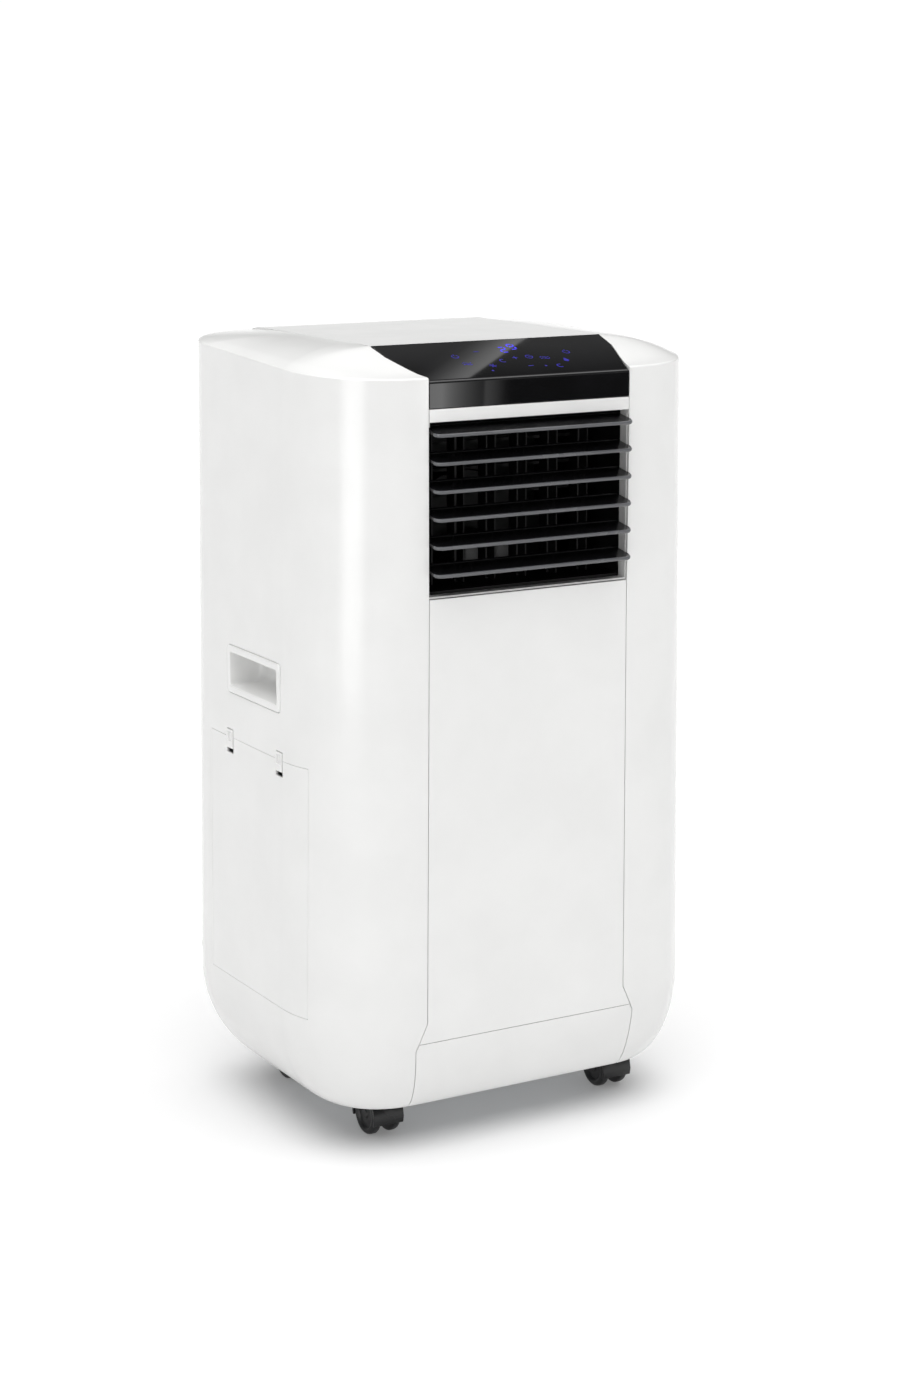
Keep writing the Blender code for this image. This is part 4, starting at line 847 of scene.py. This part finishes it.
def make_louvers():
    """Six blades: a rounded front lip, coloured lighter grey as a painted highlight, on a dark blade that thins out
    to its pivot.
    """
    low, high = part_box("louver_1")
    half = -low[0] - 0.0031
    pivot_y, pivot_z = LOUVER_PIVOT
    ahead, tilt = LOUVER_AHEAD, LOUVER_TILT
    stations = [(0.0, 0.0100), (0.0004, 0.0062), (0.0016, 0.0030), (0.0036, 0.0010), (0.0060, 0.0)]
    left = [(-half + offset, pull * 0.45) for offset, pull in stations]
    places = left + [(half - offset, pull) for offset, pull in reversed(stations)]

    def strand(name, section, places):
        """A section in the blade's own plane, (behind the pivot, up), drawn along X."""
        rings = []
        for x, pull in places:
            ring = []
            for along, up in section:
                along += pull if along < -0.010 else 0.0
                ring.append((x, pivot_y + along * math.cos(tilt) - up * math.sin(tilt),
                             pivot_z + along * math.sin(tilt) + up * math.cos(tilt)))
            rings.append(ring)
        return loft(name, rings)

    lip_section = []
    for step in range(9):
        angle = math.pi / 2 + math.pi * step / 8
        lip_section.append((-ahead + 0.0014 + 0.0010 * math.cos(angle), 0.0014 * math.sin(angle)))
    lip_section += [(-ahead + 0.0034, -0.0012), (-ahead + 0.0034, 0.0012)]
    blade_section = [(-ahead + 0.0030, 0.0011), (-ahead + 0.0030, -0.0011), (0.0016, -0.0007), (0.0021, 0.0),
                     (0.0016, 0.0007)]
    lip = strand("louver_lip", lip_section, places)
    blade = strand("louver_blade", blade_section, places)
    pins = [rod("pin", (low[0], pivot_y, pivot_z), (high[0], pivot_y, pivot_z), 0.0018, 20)]
    crank_y, crank_z = pivot_y + 0.0103923, pivot_z - 0.006
    arm = slab("arm", [(pivot_y - 0.001, pivot_z - 0.0010), (pivot_y + 0.001, pivot_z + 0.0012),
                       (crank_y + 0.0014, crank_z + 0.0012), (crank_y + 0.0012, crank_z - 0.0012),
                       (crank_y - 0.0008, crank_z - 0.0016)], -0.0633, -0.0617, "YZ")
    pins.append(arm)
    pins.append(rod("crank_pin", (-0.0628, crank_y, crank_z), (-0.0572, crank_y, crank_z), 0.0011, 16))
    blade = merge("louver_1_blade", [blade] + pins)
    pitch = (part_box("louver_1")[1][2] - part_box("louver_6")[1][2]) / 5
    for number in range(1, 7):
        drop = (0.0, 0.0, -pitch * (number - 1))
        name = "louver_%d" % number
        piece = duplicate(blade, name + "_blade_moulding", drop)
        finish(piece, name, MATERIALS["louver_black"], "louver_plastic", (name,), 40.0)
        # The lip's lighter grey is painted highlight along each blade's front edge.
        piece = duplicate(lip, name + "_front_lip", drop)
        finish(piece, name, MATERIALS["louver_grey"], "louver_plastic", (), 40.0)
    bpy.data.objects.remove(blade, do_unlink=True)
    bpy.data.objects.remove(lip, do_unlink=True)


# ---------------------------------------------------------------- sides
def make_cup(side, name):
    """Hand hold: a raised rim with round corners and a deep pocket that rounds off at the back."""
    low, high = corners_of(name)
    face = low.x if side < 0 else high.x
    inner = high.x if side < 0 else low.x
    y, z = (low.y + high.y) / 2, (low.z + high.z) / 2
    half_y, half_z = (high.y - low.y) / 2, (high.z - low.z) / 2

    def rounded(depth, shrink, radius):
        return [(depth, a, b) for a, b in rounded_outline(y, z, half_y - shrink, half_z - shrink, radius)]

    s = -side
    rim = CUP_RIM
    rings = [
        rounded(face + s * 0.0052, 0.0, 0.0050), rounded(face + s * 0.0012, 0.0, 0.0050),
        rounded(face + s * 0.0005, 0.0003, 0.0048), rounded(face + s * 0.0001, 0.0009, 0.0044),
        rounded(face, 0.0016, 0.0040), rounded(face, rim - 0.0012, 0.0030),
        rounded(face + s * 0.0004, rim - 0.0004, 0.0026), rounded(face + s * 0.0014, rim, 0.0024),
        rounded(inner - s * 0.0120, rim + 0.0008, 0.0024),
        rounded(inner - s * 0.0060, rim + 0.0022, 0.0030),
        rounded(inner - s * 0.0030, rim + 0.0052, 0.0040),
        rounded(inner - s * 0.0019, rim + 0.0100, 0.0035),
    ]
    outer = [
        rounded(inner, rim + 0.0090, 0.0040), rounded(inner - s * 0.0040, rim - 0.0002, 0.0040),
        rounded(inner - s * 0.0100, rim - 0.0018, 0.0040), rounded(face + s * 0.0052, rim - 0.0018, 0.0040),
    ]
    front = loft(name + "_front", rings, start_cap=False, end_cap=True)
    back = loft(name + "_back", outer, start_cap=True, end_cap=False)
    lip = loft(name + "_lip", [outer[-1], rings[0]], start_cap=False, end_cap=False)
    cup = merge(name + "_moulding", [front, back, lip])
    activate(cup)
    bpy.ops.object.mode_set(mode="EDIT")
    finish_mesh(0.00001)
    finish(cup, "casing", MATERIALS["gloss_white_abs"], "white_shell", (name,), 50.0)


def make_latches():
    """Thumb latches on the door: a tab with a dark gap under its lip."""
    for name in ("door_latch_front", "door_latch_rear"):
        low, high = corners_of(name)
        latch = block(name + "_moulding", low, high)
        finger = block("finger", (low.x - 0.01, low.y + 0.0022, 0.3442), (low.x + 0.0014, high.y - 0.0022, 0.3520))
        boolean(latch, finger)
        bevel(latch, 0.0006, 3)
        finish(latch, name, MATERIALS["gloss_white_abs"], "white_shell", (name,))


# ---------------------------------------------------------------- rear
def make_rear_pieces():
    """Filter grilles with their nets, hose collar, gland and drain."""
    for node in ("upper_filter", "lower_filter"):
        grille = copy_of_node(node, node + "_grille", 0.0007, 2)
        finish(grille, node, MATERIALS["satin_white_abs"], "white_shell", (node,))
        low, high = corners_of(node)
        net = block(node + "_net", (low.x + 0.004, low.y - 0.0006, low.z + 0.004),
                    (high.x - 0.004, low.y - 0.0001, high.z - 0.004))
        bevel(net, 0.0002, 1)
        finish(net, node, MATERIALS["filter_net"], "black_plastic")
    low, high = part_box("exhaust_collar")
    end, wall, z = high[1], REAR_Y, PORT_Z
    profile = [(0.060, end - 0.0008), (0.0606, end), (0.0634, end), (0.064, end - 0.0008),
               (0.064, wall + 0.0070), (0.0652, wall + 0.0066), (0.0652, wall + 0.0058), (0.064, wall + 0.0054),
               (0.064, wall + 0.0040), (0.0648, wall + 0.0030),
               (0.0732, wall + 0.0028), (0.0740, wall + 0.0020), (0.0740, wall + 0.0003), (0.066, wall + 0.0003),
               (0.066, wall - 0.010), (0.060, wall - 0.010)]
    collar = turned("collar", profile, (0.0, 0.0, z), "Y", 96)
    bars = []
    for offset in (-0.036, -0.012, 0.012, 0.036):
        reach = math.sqrt(0.060 ** 2 - offset ** 2) + 0.002
        bars.append(bevel(block("bar", (-reach, wall - 0.0090, z + offset - 0.0012),
                                (reach, wall - 0.0065, z + offset + 0.0012)), 0.0005, 2))
    bars.append(bevel(block("post", (-0.0012, wall - 0.0087, z - 0.062), (0.0012, wall - 0.0068, z + 0.062)),
                      0.0004, 2))
    for turn in range(4):
        angle = math.radians(45 + 90 * turn)
        x, up = 0.0632 * math.cos(angle), 0.0632 * math.sin(angle)
        bars.append(bevel(block("lug", (x - 0.0022, wall + 0.0085, z + up - 0.0022),
                                (x + 0.0022, wall + 0.0110, z + up + 0.0022)), 0.0006, 2))
    collar = merge("exhaust_collar_moulding", [collar] + bars)
    finish(collar, "casing", MATERIALS["satin_white_abs"], "white_shell", ("exhaust_collar",))

    gland = copy_of_node("cord_gland", "cord_gland_rubber", 0.0004, 2)
    finish(gland, "casing", MATERIALS["black_abs"], "black_plastic", ("cord_gland",))
    low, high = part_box("drain_cap")
    x, z = (low[0] + high[0]) / 2, (low[2] + high[2]) / 2
    face, end = high[1] - 0.0045, high[1]
    profile = [(0.0, end), (0.0050, end), (0.0062, end - 0.0004), (0.0068, end - 0.0012),
               (0.0068, face + 0.0006), (0.0064, face), (0.0025, face), (0.0025, face - 0.008), (0.0, face - 0.008)]
    cap = turned("cap", profile, (x, 0.0, z), "Y", 48)
    grip = []
    for step in range(16):
        angle = 2 * math.pi * step / 16
        centre = (x + 0.00665 * math.cos(angle), z + 0.00665 * math.sin(angle))
        grip.append(rod("rib", (centre[0], face + 0.0006, centre[1]), (centre[0], end - 0.0012, centre[1]),
                        0.00035, 8))
    finish(merge("drain_cap_moulding", [cap] + grip), "drain_cap", MATERIALS["satin_white_abs"],
           "white_shell", ("drain_cap",))


def make_screws():
    """Cross-head screws in the corners of the rear panel."""
    first = None
    number = 0
    for x in (-SCREW_X, SCREW_X):
        for z in SCREW_Z:
            number += 1
            name = "rear_screw_%d" % number
            if first is None:
                y = REAR_Y + 0.0001
                profile = [(0.0, y + 0.0011), (0.0016, y + 0.0010), (0.0028, y + 0.0005), (0.0031, y),
                           (0.0031, y - 0.0015), (0.0, y - 0.0015)]
                screw = turned(name, profile, (x, 0.0, z), "Y", 32)
                for turn in (0, 90):
                    a, b = (0.0019, 0.0004) if turn else (0.0004, 0.0019)
                    boolean(screw, block("slot", (x - a, y + 0.0003, z - b), (x + a, y + 0.002, z + b)))
                first = (screw, x, z)
                piece = screw
            else:
                piece = duplicate(first[0], name, (x - first[1], 0.0, z - first[2]))
            finish(piece, "casing", MATERIALS["galvanised_sheet"], "galvanised_steel")


# ---------------------------------------------------------------- casters
def make_casters():
    """Twin-wheel casters: each wheel has a rounded tread, a dished face and a hub cap."""
    for end in ("front", "rear"):
        for side in ("left", "right"):
            name = "caster_%s_%s" % (end, side)
            low, high = corners_of(name + "_wheels")
            centre = (low + high) / 2
            out = high.x - centre.x
            radius = high.z - centre.z
            half = [(0.0, out - 0.0012), (0.0036, out - 0.0010), (0.0044, out - 0.0022), (0.0120, out - 0.0026),
                    (0.0136, out - 0.0004), (radius - 0.0034, out), (radius - 0.0016, out - 0.0005),
                    (radius - 0.0004, out - 0.0018), (radius, out - 0.0034), (radius, 0.0076),
                    (radius - 0.0006, 0.0066), (radius - 0.0018, 0.0061), (0.0028, 0.0060)]
            profile = half + [(r, -h) for r, h in reversed(half)]
            wheels = turned(name + "_twin_wheels", profile, centre, "X", 56)
            finish(wheels, name + "_wheels", MATERIALS["caster_tread"], "caster_wheel", (name + "_wheels",), 40.0)
            hood = copy_of_node(name + "_hood", name + "_hood_moulding", 0.0006, 2, 40.0)
            finish(hood, name + "_swivel", MATERIALS["caster_nylon"], "caster_plastic", (name + "_hood",), 40.0)


# ---------------------------------------------------------------- finishes on the frame's own pieces
NODE_FINISHES = {
    "base_pan": "galvanised_sheet", "mid_deck": "grey_polypropylene", "outlet_liner": "black_abs",
    "outlet_guard": "black_abs", "swing_motor": "grey_polypropylene", "drain_spout": "grey_polypropylene",
    "evaporator_coil": "aluminium_fins", "condenser_coil": "aluminium_fins",
    # The evaporator's scroll and motor sit behind the outlet and get black finishes partly as painted shade that
    # keeps the outlet dark; the condenser's scroll and motor stay grey and galvanised.
    "evaporator_scroll": "black_abs", "condenser_scroll": "grey_polypropylene",
    "evaporator_blower": "black_abs", "condenser_blower": "black_abs",
    "evaporator_motor": "black_enamel", "condenser_motor": "galvanised_sheet",
    "compressor": "black_enamel", "suction_pipe": "drawn_copper", "discharge_pipe": "drawn_copper",
    "liquid_pipe": "drawn_copper", "display_board": "circuit_board", "control_box": "galvanised_sheet",
    "condensate_tank": "grey_polypropylene", "louver_link": "black_abs", "vane_link": "black_abs",
}


def finish_nodes():
    """Assign the finishes of the CAD pieces that stay."""
    for node, finish_name in NODE_FINISHES.items():
        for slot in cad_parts[node].material_slots:
            slot.material = MATERIALS[finish_name]
    for number in range(1, 7):
        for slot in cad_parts["vane_%d" % number].material_slots:
            slot.material = MATERIALS["black_abs"]


# ---------------------------------------------------------------- stage
def make_stage():
    """Camera, pale floor and soft studio light."""
    aim = Vector((-0.011, -0.035, 0.387))
    azimuth, elevation, distance = math.radians(29.83), math.radians(12.47), 2.426
    back = Vector((-math.sin(azimuth) * math.cos(elevation), -math.cos(azimuth) * math.cos(elevation),
                   math.sin(elevation)))
    camera_data = bpy.data.cameras.new("camera")
    camera = bpy.data.objects.new("camera", camera_data)
    bpy.context.scene.collection.objects.link(camera)
    camera.location = aim + back * distance
    camera.rotation_euler = (-back).to_track_quat("-Z", "Y").to_euler()
    camera_data.sensor_width = 36.0
    camera_data.lens = 70.9
    bpy.context.scene.camera = camera

    deselect()
    bpy.ops.mesh.primitive_plane_add(size=120.0, location=(0.0, 0.0, 0.0))
    floor = bpy.context.object
    floor.name = "floor"
    floor.data.materials.append(moulded("white_paper", "#DCDCDC", "#DBDBDB", 0.85, 0.02, 2.0, 0.01,
                                        cloud_mm=400.0, specular=0.1, glow=FLOOR_GLOW))

    def softbox(name, place, target, width, height, power):
        light = bpy.data.lights.new(name, "AREA")
        light.shape = "RECTANGLE"
        light.size, light.size_y = width, height
        light.energy = power
        obj = bpy.data.objects.new(name, light)
        bpy.context.scene.collection.objects.link(obj)
        obj.location = place
        obj.rotation_euler = (Vector(target) - Vector(place)).to_track_quat("-Z", "Y").to_euler()
        obj.visible_camera = False

    softbox("softbox_left", (-1.82, -1.50, 1.2), (0.0, 0.0, 0.40), 0.95, 2.3, 4.2)
    sky = bpy.data.lights.new("overhead_bank", "SUN")
    sky.energy = 3.4
    sky.angle = math.radians(80.0)
    bank = bpy.data.objects.new("overhead_bank", sky)
    bpy.context.scene.collection.objects.link(bank)
    bank.rotation_euler = (math.radians(6.0), math.radians(-2.0), 0.0)

    def reflector(name, corners, across, stops, rise, strength):
        """A glowing card that only shows in gloss: stops run across it, and it brightens up it."""
        material, tree = new_material(name)
        place = add_node(tree, "ShaderNodeTexCoord")
        along = add_node(tree, "ShaderNodeVectorMath", {"operation": "DOT_PRODUCT"}, {1: across[:3]},
                         {0: (place, "Object")})
        start = add_node(tree, "ShaderNodeMath", {"operation": "ADD"}, {1: across[3]}, {0: (along, "Value")})
        share = add_node(tree, "ShaderNodeMath", {"operation": "DIVIDE"}, {1: across[4]}, {0: (start, "Value")})
        tone = add_node(tree, "ShaderNodeValToRGB", links={"Fac": (share, "Value")})
        elements = tone.color_ramp.elements
        while len(elements) < len(stops):
            elements.new(0.5)
        for element, (spot, value) in zip(elements, stops):
            element.position = spot
            element.color = (value, value, value, 1.0)
        parts = add_node(tree, "ShaderNodeSeparateXYZ", links={"Vector": (place, "Object")})
        lift = add_node(tree, "ShaderNodeMapRange",
                        sockets={"From Min": rise[0], "From Max": rise[1], "To Min": rise[2], "To Max": rise[3]},
                        links={"Value": (parts, "Y")})
        total = add_node(tree, "ShaderNodeVectorMath", {"operation": "ADD"},
                         links={0: (tone, "Color"), 1: (lift, "Result")})
        glow = add_node(tree, "ShaderNodeEmission", sockets={"Strength": strength},
                        links={"Color": (total, "Vector")})
        add_node(tree, "ShaderNodeOutputMaterial", links={"Surface": (glow, "Emission")})
        deselect()
        bpy.ops.mesh.primitive_plane_add(size=1.0)
        card = bpy.context.object
        card.name = name
        card.data.name = name
        for vert, corner_point in zip(card.data.vertices, corners):
            vert.co = corner_point
        card.data.materials.append(material)
        card.visible_camera = card.visible_diffuse = card.visible_shadow = False
        card.visible_transmission = card.visible_volume_scatter = False

    # Seen in the sloping display: a lit wall that ends in a slanting edge, up behind the right side
    reflector("card_behind", ((0.70, 1.10, 1.989), (1.70, 1.10, 1.989), (0.70, 1.60, 2.158), (1.70, 1.60, 2.158)),
              (0.583, -0.812, 0.0, 0.4029 + 0.200, 0.400),
              ((0.0, 0.02), (0.30, 0.0), (0.35, 0.04), (0.40, 0.26), (0.44, 0.54), (0.478, 0.78), (0.499, 0.86),
               (0.501, 0.0)), (1.25, 1.39, 0.04, 0.19), 1.0)
    # Seen in the upright fascia: two tall lights low at the front right
    reflector("card_front", ((0.80, -2.09, 0.30), (1.70, -2.09, 0.30), (0.80, -2.09, 0.52), (1.70, -2.09, 0.52)),
              (1.0, 0.0, 0.0, -0.992, 0.394),
              ((0.0, 0.84), (0.06, 0.90), (0.09, 0.66), (0.12, 0.50), (0.15, 0.38), (0.18, 0.27), (0.22, 0.17),
               (0.262, 0.09), (0.270, 0.27), (0.31, 0.19), (0.34, 0.11), (0.37, 0.04), (0.40, 0.02)),
              (-3.0, 3.0, 0.0, 0.0), 5.0)
    # Seen down the front left corner: a tall soft bank
    reflector("card_left", ((-2.33, -0.88, 0.0), (-1.31, -2.12, 0.0), (-2.33, -0.88, 2.6), (-1.31, -2.12, 2.6)),
              (0.635, -0.772, 0.0, 0.800, 1.600),
              ((0.0, 0.0), (0.15, 0.5), (0.35, 1.0), (0.65, 1.0), (0.85, 0.5), (1.0, 0.0)),
              (-3.0, 3.0, 0.0, 0.0), 4.2)

    world = bpy.data.worlds.new("studio")
    bpy.context.scene.world = world
    world.use_nodes = True
    tree = world.node_tree
    tree.nodes.clear()
    place = add_node(tree, "ShaderNodeTexCoord")
    parts = add_node(tree, "ShaderNodeSeparateXYZ", links={"Vector": (place, "Generated")})
    ahead = add_node(tree, "ShaderNodeMapRange",
                     sockets={"From Min": -1.0, "From Max": 1.0, "To Min": 0.0, "To Max": 1.0},
                     links={"Value": (parts, "Y")})
    upper = ramp(tree, ahead, "Result", ((0.50, "#9C9C9C"), (0.80, "#727272")))
    middle = ramp(tree, ahead, "Result", ((0.35, "#808080"), (0.62, "#404040")))

    def step(low, high, below, above):
        share = add_node(tree, "ShaderNodeMapRange",
                         sockets={"From Min": low, "From Max": high, "To Min": 0.0, "To Max": 1.0},
                         links={"Value": (parts, "Z")})
        mix = add_node(tree, "ShaderNodeMix", {"data_type": "RGBA"}, {6: WHITE},
                       {0: (share, "Result"), 7: above})
        if below:
            tree.links.new(below[0].outputs[below[1]], mix.inputs[6])
        return mix

    lower = step(0.045, 0.14, None, (middle, "Color"))
    sweep = step(0.22, 0.42, (lower, 2), (upper, "Color"))
    shade = add_node(tree, "ShaderNodeBackground", sockets={"Strength": 1.02}, links={"Color": (sweep, 2)})
    add_node(tree, "ShaderNodeOutputWorld", links={"Surface": (shade, "Background")})
    bpy.context.scene.view_settings.view_transform = "Standard"


deselect()
MATERIALS = make_materials()
make_stage()
skin = make_casing_skin()
make_side_shell(skin, -1, "left_side_shell")
make_side_shell(skin, 1, "right_side_shell")
make_panels(skin)
bpy.data.objects.remove(skin, do_unlink=True)
make_marks(*make_display())
make_top_cover()
make_bezel()
make_louvers()
make_cup(-1, "handle_cup_left")
make_cup(1, "handle_cup_right")
make_latches()
make_rear_pieces()
make_screws()
make_casters()
finish_nodes()
deselect()
